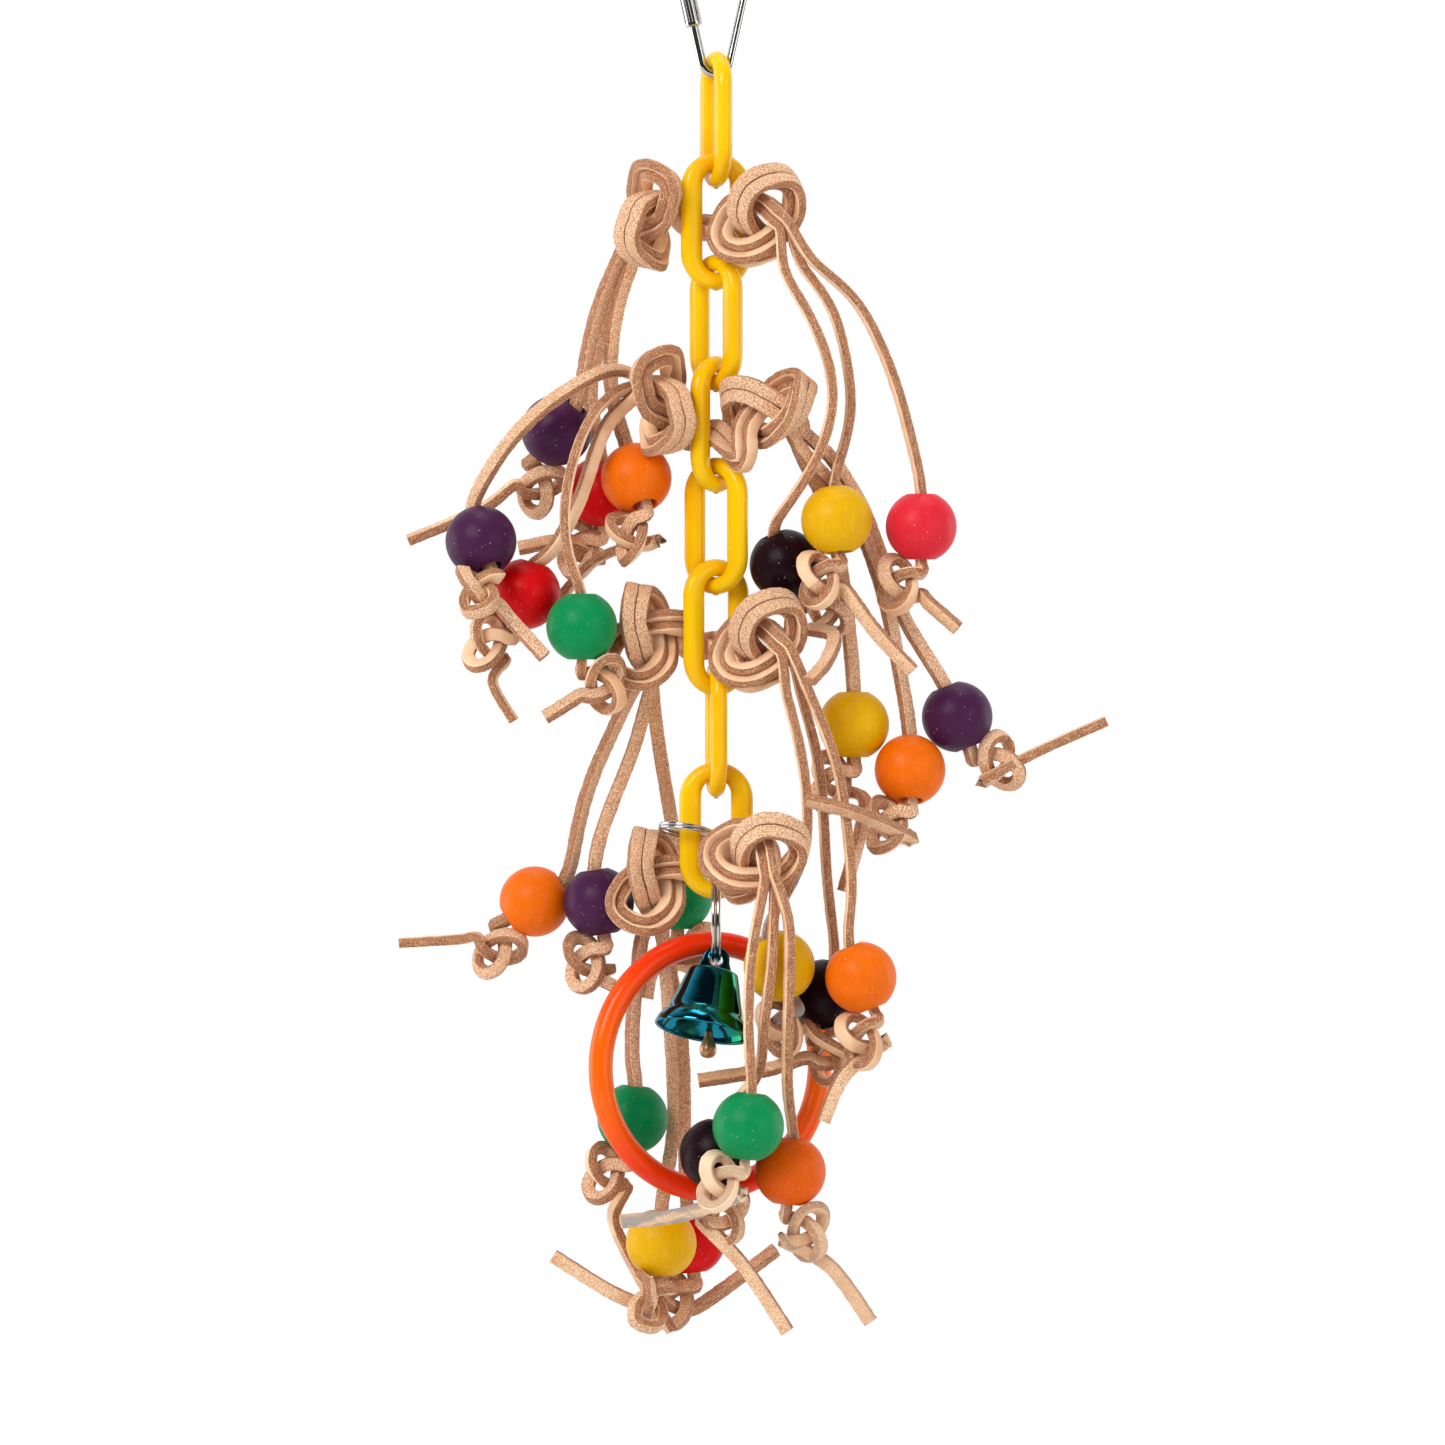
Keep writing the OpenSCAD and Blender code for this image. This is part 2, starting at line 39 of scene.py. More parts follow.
# camera: straight on, from far away; frame is the width of the picture at the chain, and sensor is in mm
shot = {"centre": (0.0018, 0, -0.2289), "distance": 3.0, "frame": 0.4068, "sensor": 36, "far": 20}
cameraData = bpy.data.cameras.new("camera")
cameraData.sensor_width = shot["sensor"]
cameraData.lens = shot["sensor"] * shot["distance"] / shot["frame"]
cameraData.clip_end = shot["far"]
camera = bpy.data.objects.new("camera", cameraData)
camera.location = Vector(shot["centre"]) - Vector((0, shot["distance"], 0))
camera.rotation_euler = (math.radians(90), 0, 0)
scene.collection.objects.link(camera)
scene.camera = camera
scene.view_settings.view_transform = "Standard"

# the laces take the routes of part.scad, in metres, which lift brings from its level to the frame's;
# the right knots of tiers 1 and 3 and the left ones of tiers 3 and 4 are turned to look like the real ones
lift = Vector((0, 0, 0.0145))
# step: between two sections; hang: rounds of smoothing; exit: how far from a tip the point named reach is
# found, which nothing uses
laceSize = {"wide": 0.0037, "thick": 0.0028, "corner": 0.0005, "swell": 0.00008, "step": 0.0009, "hang": 40,
            "rough": 0.00007, "widthVaries": 0.035, "thickVaries": 0.03, "varyEvery": 6, "exit": 0.024}
smallKnot = {"size": 0.0026, "rise": 0.0025, "start": 27, "steps": 19, "reach": 0.0162}
bigKnot = {"size": 0.0044, "rise": 0.0042, "start": 34, "steps": 22}
beadRun = {"above": 0.011, "below": 0.010}
# where each lace lies in its bundle, across and up, and how far the bundle sways in a knot, in degrees
spread = {"a": (-0.0019, -0.0015), "b": (0.0019, -0.0015), "c": (0, 0.0015)}
sway = 30
# x and y turn a big knot, roll turns the laces that enter it round their middle, and hand mirrors it;
# face is where the flat side of a small knot looks, which is the front unless it is given
tiers = {
    1: {
        "knotLeft": {"centre": (-0.0185, 0.003, -0.1005), "x": (-0.25, 0, -1), "y": (0, -1, 0), "hand": 1,
                     "roll": 210},
        "knotRight": {"centre": (0.0135, -0.0117, -0.103), "x": (-0.61, 0.5, -0.61),
                      "y": (-0.574, 0, 0.819), "hand": 1, "roll": 210},
        "through": [(-0.012, 0.014, -0.098), (-0.0085, 0.013, -0.103), (0, 0, -0.105),
                    (0.0045, -0.006, -0.1105), (0.009, -0.0065, -0.1125)],
    },
    2: {
        "knotLeft": {"centre": (-0.0155, -0.003, -0.153), "x": (-0.2, 0, 1), "y": (0, -1, 0), "hand": -1,
                     "roll": 330},
        "knotRight": {"centre": (0.015, -0.011, -0.158), "x": (-0.85, 0.5, -0.15), "y": (0, 0, 1),
                      "hand": -1, "roll": 330},
        "through": [(-0.008, 0.0105, -0.161), (-0.006, 0.01, -0.1635), (0, 0, -0.1625),
                    (0.0035, -0.0065, -0.1665), (0.0075, -0.012, -0.1705)],
    },
    3: {
        "knotLeft": {"centre": (-0.019, 0.004, -0.22), "x": (-0.2, 0, -1), "y": (-1, -0.5, 0), "hand": 1,
                     "roll": 210},
        "knotRight": {"centre": (0.014, -0.0115, -0.222), "x": (-0.61, 0.5, -0.61), "y": (-0.574, 0, 0.819),
                      "hand": 1, "roll": 210},
        "through": [(-0.011, 0.014, -0.217), (-0.008, 0.013, -0.222), (0, 0, -0.2217),
                    (0.0057, -0.0063, -0.2298), (0.0098, -0.007, -0.2319)],
    },
    4: {
        "knotLeft": {"centre": (-0.017, 0.007, -0.289), "x": (-0.2, 0, -1), "y": (-1, -0.5, 0), "hand": 1,
                     "roll": 210},
        "knotRight": {"centre": (0.0115, -0.022, -0.2825), "x": (-0.85, 0.5, -0.15), "y": (0, 0, 1),
                      "hand": 1, "roll": 210},
        "through": [(-0.009, 0.016, -0.285), (-0.006, 0.013, -0.281), (0.0003, 0, -0.2805),
                    (0.001, -0.008, -0.2845), (0.0055, -0.0155, -0.2912)],
    },
}
laces = {
    "1a": {
        "left": {"paint": "purple", "bead": (-0.045, 0.007, -0.161), "aim": (-0.8, 0.3, -1),
                 "face": (0.2, -1, 0), "side": 1,
                 "route": [(-0.026, 0.013, -0.109), (-0.033, 0.012, -0.125), (-0.037, 0.009, -0.142)],
                 "tail": [(-0.066, 0.01, -0.183), (-0.087, 0.01, -0.192)]},
        "right": {"paint": "yellow", "bead": (0.0338, -0.011, -0.1866), "aim": (0.1, -0.1, -1), "side": -1,
                  "route": [(0.023, -0.015, -0.115), (0.033, -0.012, -0.128), (0.038, -0.01, -0.155)],
                  "tail": [(0.044, -0.014, -0.217), (0.055, -0.013, -0.229)]},
    },
    "1b": {
        "left": {"paint": "orange", "bead": (-0.0225, 0.004, -0.1745), "aim": (0.3, -0.5, -1),
                 "face": (0, -1, -0.5), "side": -1,
                 "route": [(-0.022, 0.0135, -0.109), (-0.028, 0.012, -0.126), (-0.03, 0.01, -0.148)],
                 "tail": [(-0.033, 0.006, -0.197), (-0.044, 0.0145, -0.208)]},
        "right": {"paint": "rose", "bead": (0.0577, -0.002, -0.1883), "aim": (0, 0, -1), "side": -1,
                  "route": [(0.026, -0.019, -0.114), (0.04, -0.012, -0.126), (0.051, -0.005, -0.15)],
                  "tail": [(0.06, -0.004, -0.21), (0.068, -0.005, -0.217)]},
    },
    "1c": {
        "left": {"paint": "red", "bead": (-0.0327, 0.021, -0.178), "aim": (0, 0.2, -1), "side": -1,
                 "route": [(-0.025, 0.016, -0.107), (-0.03, 0.019, -0.127), (-0.036, 0.021, -0.148)],
                 "tail": [(-0.042, 0.021, -0.192), (-0.056, 0.02, -0.194)]},
        "right": {"paint": "plum", "bead": (0.0194, -0.001, -0.199), "aim": (0.4, 0.1, -1), "side": 1,
                  "route": [(0.018, -0.0175, -0.116), (0.028, -0.017, -0.133), (0.033, -0.017, -0.151),
                            (0.029, -0.016, -0.168), (0.021, -0.011, -0.181)],
                  "tail": [(0.033, -0.008, -0.219), (0.031, -0.02, -0.226), (0.026, -0.026, -0.232)]},
    },
    "2a": {
        "left": {"paint": "green", "bead": (-0.0377, -0.01, -0.2165), "aim": (0, 0, -1), "side": 1,
                 "route": [(-0.019, 0.009, -0.1485), (-0.025, 0.005, -0.149), (-0.031, -0.003, -0.1525),
                           (-0.037, -0.009, -0.161), (-0.042, -0.012, -0.178), (-0.042, -0.012, -0.195)],
                 "tail": [(-0.04, -0.012, -0.237), (-0.048, -0.012, -0.242)]},
        "right": {"paint": "purple", "bead": (0.068, 0.006, -0.2418), "aim": (0.4, 0, -1), "side": 1,
                  "route": [(0.031, -0.008, -0.167), (0.042, 0.009, -0.184), (0.052, 0.009, -0.212)],
                  "tail": [(0.092, 0.004, -0.251), (0.11, 0.003, -0.243)]},
    },
    "2b": {
        "left": {"paint": "purple", "bead": (-0.066, -0.008, -0.1925), "aim": (0.35, -0.5, -1),
                 "face": (0.6, -1, 0), "side": -1,
                 "route": [(-0.023, 0.0065, -0.145), (-0.029, 0.002, -0.1435), (-0.04, -0.008, -0.149),
                           (-0.052, -0.011, -0.158), (-0.062, -0.011, -0.17)],
                 "tail": [(-0.058, -0.014, -0.214), (-0.048, -0.016, -0.225)]},
        "right": {"paint": "orange", "bead": (0.0546, 0.001, -0.2567), "aim": (0, -0.3, -1), "side": -1,
                  "route": [(0.025, -0.014, -0.169), (0.038, 0.002, -0.183), (0.048, 0.005, -0.21)],
                  "tail": [(0.04, -0.019, -0.269), (0.025, -0.023, -0.265)]},
    },
    "2c": {
        "left": {"paint": "red", "bead": (-0.0538, 0.003, -0.2072), "aim": (-0.3, 0, -1), "side": -1,
                 "route": [(-0.023, 0.006, -0.1525), (-0.0285, 0.001, -0.156), (-0.033, -0.002, -0.164),
                           (-0.038, -0.003, -0.18), (-0.047, -0.001, -0.197)],
                 "tail": [(-0.063, 0.004, -0.232), (-0.057, 0.004, -0.243)]},
        "right": {"paint": "yellow", "bead": (0.0388, 0.004, -0.244), "aim": (0, 0, -1), "side": -1,
                  "route": [(0.024, -0.007, -0.169), (0.031, 0.004, -0.182), (0.036, 0.006, -0.205)],
                  "tail": [(0.042, 0.003, -0.268), (0.036, 0.002, -0.291)]},
    },
    "3a": {
        "left": {"paint": "orange", "bead": (-0.0515, 0.024, -0.2942), "aim": (-1.6, 0, -1), "side": 1,
                 "route": [(-0.0215, 0.016, -0.23), (-0.028, 0.02, -0.243), (-0.037, 0.024, -0.264)],
                 "tail": [(-0.074, 0.024, -0.305), (-0.09, 0.024, -0.306)]},
        "right": {"paint": "plum", "bead": (0.0305, -0.002, -0.32), "aim": (-0.3, -0.2, -1), "side": 1,
                  "route": [(0.023, -0.014, -0.233), (0.029, -0.007, -0.256), (0.031, -0.002, -0.285)],
                  "tail": [(0.014, -0.007, -0.341), (-0.005, -0.007, -0.344)]},
    },
    "3b": {
        "left": {"paint": "purple", "bead": (-0.0332, 0.0155, -0.2942), "aim": (0.15, 0, -1), "side": -1,
                 "route": [(-0.018, 0.015, -0.231), (-0.023, 0.017, -0.25), (-0.031, 0.017, -0.27)],
                 "tail": [(-0.034, 0.015, -0.315), (-0.029, 0.015, -0.318)]},
        "right": {"paint": "orange", "bead": (0.0405, -0.019, -0.3147), "aim": (0.4, 0, -1), "side": -1,
                  "route": [(0.025, -0.019, -0.233), (0.034, -0.016, -0.256), (0.038, -0.018, -0.288)],
                  "tail": [(0.036, -0.018, -0.342), (0.03, -0.018, -0.355)]},
    },
    "3c": {
        "left": {"paint": "green", "bead": (-0.011, 0.036, -0.293), "aim": (0, 0, -1), "side": 1,
                 "route": [(-0.0185, 0.019, -0.228), (-0.017, 0.027, -0.245), (-0.013, 0.034, -0.27)],
                 "tail": [(-0.018, 0.036, -0.314), (-0.02, 0.036, -0.322)]},
        "right": {"paint": "yellow", "bead": (0.0177, -0.016, -0.3116), "aim": (0.45, 0.2, -1), "side": -1,
                  "route": [(0.019, -0.018, -0.234), (0.024, -0.015, -0.253), (0.025, -0.015, -0.28)],
                  "tail": [(0.029, -0.013, -0.332), (0.038, -0.012, -0.337)]},
    },
    "4a": {
        "left": {"paint": "green", "bead": (-0.0236, 0.011, -0.3553), "aim": (-0.1, 0, -1), "side": -1,
                 "route": [(-0.0205, 0.019, -0.3), (-0.023, 0.019, -0.32), (-0.024, 0.016, -0.338)],
                 "tail": [(-0.029, 0.019, -0.384), (-0.023, 0.021, -0.398), (-0.0125, 0.02, -0.416)]},
        "right": {"paint": "plum", "bead": (-0.0003, -0.013, -0.3643), "aim": (-0.2, -0.1, -1), "side": 1,
                  "route": [(0.016, -0.0285, -0.298), (0.0155, -0.0295, -0.311), (0.013, -0.024, -0.33),
                            (0.012, -0.019, -0.342)],
                  "tail": [(0.008, -0.014, -0.396), (0.02, -0.014, -0.414)]},
    },
    "4b": {
        "left": {"paint": "yellow", "bead": (-0.0155, 0.009, -0.3904), "aim": (0, 0, -1),
                 "face": (1, -0.6, 0), "side": -1,
                 "route": [(-0.0155, 0.018, -0.3), (-0.013, 0.02, -0.33), (-0.012, 0.02, -0.358)],
                 "tail": [(-0.03, 0.009, -0.404), (-0.046, 0.009, -0.394)]},
        "right": {"paint": "amber", "bead": (0.0208, -0.012, -0.3693), "aim": (-0.1, 0, -1), "side": 1,
                  "route": [(0.0205, -0.031, -0.298), (0.0205, -0.03, -0.311), (0.02, -0.026, -0.33),
                            (0.02, -0.019, -0.348)],
                  "tail": [(0.032, -0.011, -0.396), (0.0434, -0.011, -0.4115)]},
    },
    "4c": {
        "left": {"paint": "red", "bead": (-0.0073, 0.028, -0.3904), "aim": (0.1, 0, -1), "side": -1,
                 "route": [(-0.017, 0.0215, -0.297), (-0.01, 0.025, -0.33), (-0.009, 0.028, -0.365)],
                 "tail": [(0.004, 0.027, -0.403), (0.017, 0.025, -0.393)]},
        "right": {"paint": "green", "bead": (0.009, -0.0285, -0.356), "aim": (-0.1, 0, -1), "side": -1,
                  "route": [(0.0115, -0.031, -0.298), (0.0095, -0.031, -0.311), (0.009, -0.029, -0.33)],
                  "tail": [(-0.01, -0.022, -0.381), (-0.0267, -0.019, -0.383)]},
    },
}


class Signal:
    # a socket of a node tree that can be calculated with
    def __init__(self, graph, socket):
        self.graph = graph
        self.socket = socket

    def calculated(self, operation, first, second):
        return self.graph.node("ShaderNodeMath", {"operation": operation}, {0: first, 1: second})

    def __add__(self, other):
        return self.calculated("ADD", self, other)

    def __sub__(self, other):
        return self.calculated("SUBTRACT", self, other)

    def __rsub__(self, other):
        return self.calculated("SUBTRACT", other, self)

    def __mul__(self, other):
        return self.calculated("MULTIPLY", self, other)

    def __gt__(self, other):
        return self.calculated("GREATER_THAN", self, other)

    def __lt__(self, other):
        return self.calculated("LESS_THAN", self, other)

    __radd__ = __add__
    __rmul__ = __mul__

    def between(self, low, high):
        # smooth step from 0 at low to 1 at high
        return self.graph.node("ShaderNodeMapRange", {"interpolation_type": "SMOOTHSTEP"},
                               {"Value": self, "From Min": low, "From Max": high})


class Graph:
    # a node tree that nodes are added to
    def __init__(self, tree):
        self.tree = tree

    def node(self, kind, settings, values, output=0):
        made = self.tree.nodes.new(kind)
        for key, value in settings.items():
            setattr(made, key, value)
        for key, value in values.items():
            self.fill(made.inputs[key], value)
        return Signal(self, made.outputs[output]) if made.outputs else made

    def fill(self, socket, value):
        if isinstance(value, Signal):
            self.tree.links.new(value.socket, socket)
        elif socket.type == "RGBA":
            socket.default_value = tuple(value[:3]) + (1,)
        else:
            socket.default_value = value

    def stretched(self, scale, source):
        return self.node("ShaderNodeMapping", {}, {"Vector": source, "Scale": scale})

    def noise(self, source, scale, detail=3, rough=0.55):
        return self.node("ShaderNodeTexNoise", {},
                         {"Vector": source, "Scale": scale, "Detail": detail, "Roughness": rough})

    def part(self, vector, index):
        return self.node("ShaderNodeSeparateXYZ", {}, {0: vector}, index)

    def mixed(self, factor, first, second):
        # first, second and the output 2 are the colour sockets of the Mix node
        return self.node("ShaderNodeMix", {"data_type": "RGBA"}, {0: factor, 6: first, 7: second}, 2)


class Finish(Graph):
    # a material with a principled shader: fixed values by socket name
    def __init__(self, name, values):
        self.material = bpy.data.materials.new(name)
        self.material.use_nodes = True
        super().__init__(self.material.node_tree)
        self.shader = self.tree.nodes["Principled BSDF"]
        self.place = self.node("ShaderNodeTexCoord", {}, {}, "Object")
        for key, value in values.items():
            self.feed(key, value)

    def feed(self, key, value):
        self.fill(self.shader.inputs[key], value)

    def bump(self, height, strength, distance):
        self.feed("Normal", self.node("ShaderNodeBump", {},
                                      {"Height": height, "Strength": strength, "Distance": distance}))
        return self.material


def unit(vector):
    return Vector(vector).normalized()


def squareTo(vector, heading):
    # the part of a vector that stands square to a heading
    return (vector - heading * vector.dot(heading)).normalized()


def neighbours(points, i):
    last = len(points) - 1
    return points[max(i - 1, 0)], points[i], points[i + 1], points[min(i + 2, last)]


def headingsOf(points):
    last = len(points) - 1
    return [(points[min(i + 1, last)] - points[max(i - 1, 0)]).normalized() for i in range(len(points))]


def carried(headings, start):
    # side vectors carried along a line without twist
    sides = [squareTo(start, headings[0])]
    for before, here in zip(headings, headings[1:]):
        side = sides[-1]
        sides.append(side - (before + here) * (side.dot(here) / (1 + before.dot(here))))
    return sides


def smoothed(points):
    # one more point between each two
    result = []
    for i in range(len(points) - 1):
        before, here, following, beyond = neighbours(points, i)
        result += [here, (9 * (here + following) - before - beyond) / 16]
    return result + [points[-1]]


def lengthOf(points):
    return sum((second - first).length for first, second in zip(points, points[1:]))


def knotCurve(knot):
    # overhand knot: a trefoil, cut open by twice start, in degrees
    result = []
    for i in range(knot["steps"] + 1):
        angle = math.radians(180 + knot["start"] + (360 - 2 * knot["start"]) * i / knot["steps"])
        wave = math.sin(3 * angle)
        result.append((knot["size"] * (math.sin(angle) + 2 * math.sin(2 * angle)),
                       knot["size"] * (math.cos(angle) - 2 * math.cos(2 * angle)),
                       knot["rise"] * wave * (0.6 * wave * wave - 1.6)))
    return result


def placed(curve, centre, x, y, hand):
    right = unit(x)
    up = squareTo(Vector(y), right)
    out = right.cross(up) * hand
    return [Vector(centre) + right * point[0] + up * point[1] + out * point[2] for point in curve]


def bigCurve(knot):
    return placed(knotCurve(bigKnot), knot["centre"], knot["x"], knot["y"], knot["hand"])


def rolled(side, heading, degrees):
    angle = math.radians(degrees)
    return side * math.cos(angle) + heading.cross(side) * math.sin(angle)


def knotSides(headings, knot):
    start = unit(knot["x"]).cross(Vector(knot["y"])) * knot["hand"]
    return [rolled(side, headings[i], knot["roll"]) for i, side in enumerate(carried(headings, start))]


def bundleOf(tier):
    # centre line of a tier's three laces, with its headings and side vectors
    left, right = bigCurve(tier["knotLeft"]), bigCurve(tier["knotRight"])
    middle = smoothed([left[-1]] + [Vector(point) for point in tier["through"]] + [right[0]])
    line = left + middle[1:-1] + right
    headings = headingsOf(line)
    leftEnd = bigKnot["steps"]
    rightStart = len(line) - 1 - leftEnd
    leftSides = knotSides(headings[:leftEnd + 1], tier["knotLeft"])
    rightSides = knotSides(headings[rightStart:], tier["knotRight"])
    between = carried(headings[leftEnd:rightStart + 1], leftSides[-1])
    # the twist that is left is shared out over the run through the link
    steps = rightStart - leftEnd
    square = headings[rightStart].cross(between[steps])
    twist = math.degrees(math.atan2(rightSides[0].dot(square), rightSides[0].dot(between[steps])))
    turned = [rolled(between[i], headings[leftEnd + i], twist * i / steps) for i in range(1, steps)]
    return line, headings, leftSides + turned + rightSides


def laceEnd(end):
    # from the big knot to the tip: free run, bead, small knot and tail
    bead = Vector(end["bead"])
    aim = unit(end["aim"])
    face = squareTo(Vector(end.get("face", (0, -1, 0))), aim)
    across = face.cross(aim) * end["side"]
    knot = bead + aim * smallKnot["reach"] + across * (2 * smallKnot["size"])
    route = smoothed([Vector(point) for point in end["route"]] + [bead - aim * beadRun["above"]])
    held = [bead, bead + aim * beadRun["below"]] + placed(knotCurve(smallKnot), knot, -aim, across, 1)
    return route + held + [Vector(point) for point in end["tail"]], len(route)


def laceLine(name, lace):
    # the whole lace, its side vectors, and the stretches of it that hang free
    line, headings, sides = bundleOf(tiers[int(name[0])])
    # in each big knot the three laces sway round one another
    for i in range(len(line)):
        inside = min(i, len(line) - 1 - i, bigKnot["steps"])
        sides[i] = rolled(sides[i], headings[i], sway * math.sin(3 * math.pi * inside / bigKnot["steps"]))
    across, up = spread[name[1]]
    left, leftRun = laceEnd(lace["left"])
    right, rightRun = laceEnd(lace["right"])
    tied = [point + sides[i] * across + headings[i].cross(sides[i]) * up for i, point in enumerate(line)]
    path = left[::-1] + tied + right
    headings = headingsOf(path)
    start = len(left)
    end = start + len(sides) - 1
    leftSides = carried(headings[:start + 1][::-1], sides[0])[::-1][:-1]
    tiedSides = [squareTo(sides[i - start], headings[i]) for i in range(start, end + 1)]
    rightSides = carried(headings[end:], sides[-1])[1:]
    free = ((start - leftRun, start), (end, end + rightRun))
    return [point + lift for point in path], leftSides + tiedSides + rightSides, free


def resampled(path, sides, free):
    # smooth line through the points of the route; its free stretches hang without kinks
    points, across, loose = [], [], []
    margin = 0.3  # in points of the route
    for i in range(len(path) - 1):
        before, here, following, beyond = neighbours(path, i)
        count = max(1, round((following - here).length / laceSize["step"]))
        for k in range(count):
            f = k / count
            points.append(0.5 * (2 * here + (following - before) * f
                                 + (2 * before - 5 * here + 4 * following - beyond) * f ** 2
                                 + (3 * here - before - 3 * following + beyond) * f ** 3))
            across.append(sides[i].lerp(sides[i + 1], f).normalized())
            loose.append(any(start - margin < i + f < end + margin for start, end in free))
    points.append(path[-1])
    across.append(sides[-1])
    for _ in range(laceSize["hang"]):
        for i in range(1, len(points) - 2):
            if loose[i]:
                points[i] = points[i] * 0.5 + (points[i - 1] + points[i + 1]) * 0.25
    headings = headingsOf(points)
    return points, headings, [squareTo(side, headings[i]) for i, side in enumerate(across)]


def addObject(name, mesh, body, nodes, materialSlot):
    mesh.validate()
    obj = bpy.data.objects.new(name, mesh)
    scene.collection.objects.link(obj)
    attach(obj, body)
    if nodes:
        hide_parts(*nodes)
    return obj


def laceSection():
    # rounded oblong; numbers 0 to 1 run along the smooth side, 2 to 3 along the rough one, others along cuts
    wide, thick = laceSize["wide"] / 2, laceSize["thick"] / 2
    corner, swell = laceSize["corner"], laceSize["swell"]
    corners = [(wide, thick), (-wide, thick), (-wide, -thick), (wide, -thick)]
    section, numbers = [], []
    for k, (x, y) in enumerate(corners):
        outX, outY = math.copysign(1, x), math.copysign(1, y)
        arc = [(x - outX * corner, y), (x - outX * corner * 0.3, y - outY * corner * 0.3),
               (x, y - outY * corner)]
        section += arc[::-1] if k % 2 == 0 else arc
        numbers += [(k - 0.12) % 4, k, k + 0.12]
        nextX, nextY = corners[(k + 1) % 4]
        swellX, swellY = (outX * swell, 0) if k % 2 else (0, outY * swell)
        section.append(((x + nextX) / 2 + swellX, (y + nextY) / 2 + swellY))
        numbers.append(k + 0.5)
    return section, numbers


def laceMesh(name, points, headings, sides, seed):
    # u of the map tells the side of the lace, v is the length along it in cm
    rng = random.Random(seed)
    wide, thick = laceSize["wide"] / 2, laceSize["thick"] / 2
    section, numbers = laceSection()
    bm = bmesh.new()
    layer = bm.loops.layers.uv.new("sides")
    every = laceSize["varyEvery"]
    wobble = [rng.uniform(-1, 1) for _ in range(len(points) // every + 3)]
    rings, lengths = [], [0]
    for i, point in enumerate(points):
        if i:
            lengths.append(lengths[-1] + (point - points[i - 1]).length)
        whole = int(i / every)
        bend = wobble[whole] + (wobble[whole + 1] - wobble[whole]) * (i / every - whole)
        wider, thinner = 1 + laceSize["widthVaries"] * bend, 1 - laceSize["thickVaries"] * bend
        up = headings[i].cross(sides[i])
        rings.append([])
        for x, y in section:
            rough = laceSize["rough"] * rng.uniform(-1, 1)
            place = point + sides[i] * (x * wider + rough * x / wide) + up * (y * thinner + rough * y / thick)
            rings[-1].append(bm.verts.new(place))
    for i in range(len(rings) - 1):
        for k in range(len(section)):
            n = (k + 1) % len(section)
            face = bm.faces.new((rings[i][k], rings[i][n], rings[i + 1][n], rings[i + 1][k]))
            face.smooth = True
            ends = (numbers[k], numbers[n] if n else numbers[k] + 0.12)
            if ends[1] < ends[0]:
                ends = (ends[0] - 4, ends[1])
            for loop, (u, v) in zip(face.loops, ((0, i), (1, i), (1, i + 1), (0, i + 1))):
                loop[layer].uv = (ends[u], lengths[v] * 100)
    for ring in (rings[0][::-1], rings[-1]):
        face = bm.faces.new(ring)
        for loop in face.loops:
            loop[layer].uv = (1.5, 0)
    bmesh.ops.recalc_face_normals(bm, faces=bm.faces)
    mesh = bpy.data.meshes.new(name)
    bm.to_mesh(mesh)
    bm.free()
    return mesh


laceObjects = []
for name, lace in laces.items():
    path, sides, free = laceLine(name, lace)
    points, headings, across = resampled(path, sides, free)
    length = lengthOf(points)
    piece = "lace_%s_leather" % name
    mesh = laceMesh(piece, points, headings, across, len(laceObjects))
    obj = addObject(piece, mesh, "strand", ["lace_" + name], "leather")
    reach = next(point for point in points if (point - points[0]).length > laceSize["exit"])
    laceObjects.append(obj)
    print("lace", name, round(length, 4))
print("stage: laces made")


def skinned(bm, rings, closed=False):
    # loops of points, each bridged to the next
    loops = []
    for ring in rings:
        verts = [bm.verts.new(point) for point in ring]
        loops.append([bm.edges.new(pair) for pair in zip(verts, verts[1:] + verts[:1])])
    for first, second in zip(loops, loops[1:] + (loops[:1] if closed else [])):
        bmesh.ops.bridge_loops(bm, edges=first + second)
    if not closed:
        bmesh.ops.holes_fill(bm, edges=loops[0] + loops[-1], sides=0)


def turned(bm, profile, segments, matrix, closed=True):
    # line of (radius, height) spun round the local z axis
    old = set(bm.verts)
    verts = [bm.verts.new((radius, 0, height)) for radius, height in profile]
    edges = [bm.edges.new(pair) for pair in zip(verts, verts[1:] + (verts[:1] if closed else []))]
    bmesh.ops.spin(bm, geom=verts + edges, cent=(0, 0, 0), axis=(0, 0, 1), angle=2 * math.pi, steps=segments,
                   use_merge=True)
    bmesh.ops.transform(bm, matrix=matrix, verts=[vert for vert in bm.verts if vert not in old])


def tube(bm, points, radii, sides):
    # round bar along a line, with rounded ends
    headings = headingsOf(points)
    level = abs(headings[0].x) > 0.9
    across = carried(headings, Vector((0.3, 0.9, 0.2)) if level else Vector((1, 0.1, 0.05)))
    stations = list(zip(points, radii, headings, across))
    for share in (0.4, 0.75, 0.95):
        for end, sign in ((0, -1), (-1, 1)):
            point, radius, heading, side = points[end], radii[end], headings[end], across[end]
            cap = (point + heading * sign * radius * share * 0.5, radius * math.sqrt(1 - share * share),
                   heading, side)
            stations.insert(0 if sign < 0 else len(stations), cap)
    angles = [2 * math.pi * k / sides for k in range(sides)]
    rings = []
    for point, radius, heading, side in stations:
        up = heading.cross(side)
        rings.append([point + (side * math.cos(angle) + up * math.sin(angle)) * radius for angle in angles])
    skinned(bm, rings)


def finished(bm, name, material):
    bmesh.ops.remove_doubles(bm, verts=bm.verts, dist=1e-6)
    bmesh.ops.recalc_face_normals(bm, faces=bm.faces)
    for face in bm.faces:
        face.smooth = True
    mesh = bpy.data.meshes.new(name)
    bm.to_mesh(mesh)
    bm.free()
    mesh.materials.append(material)
    return mesh


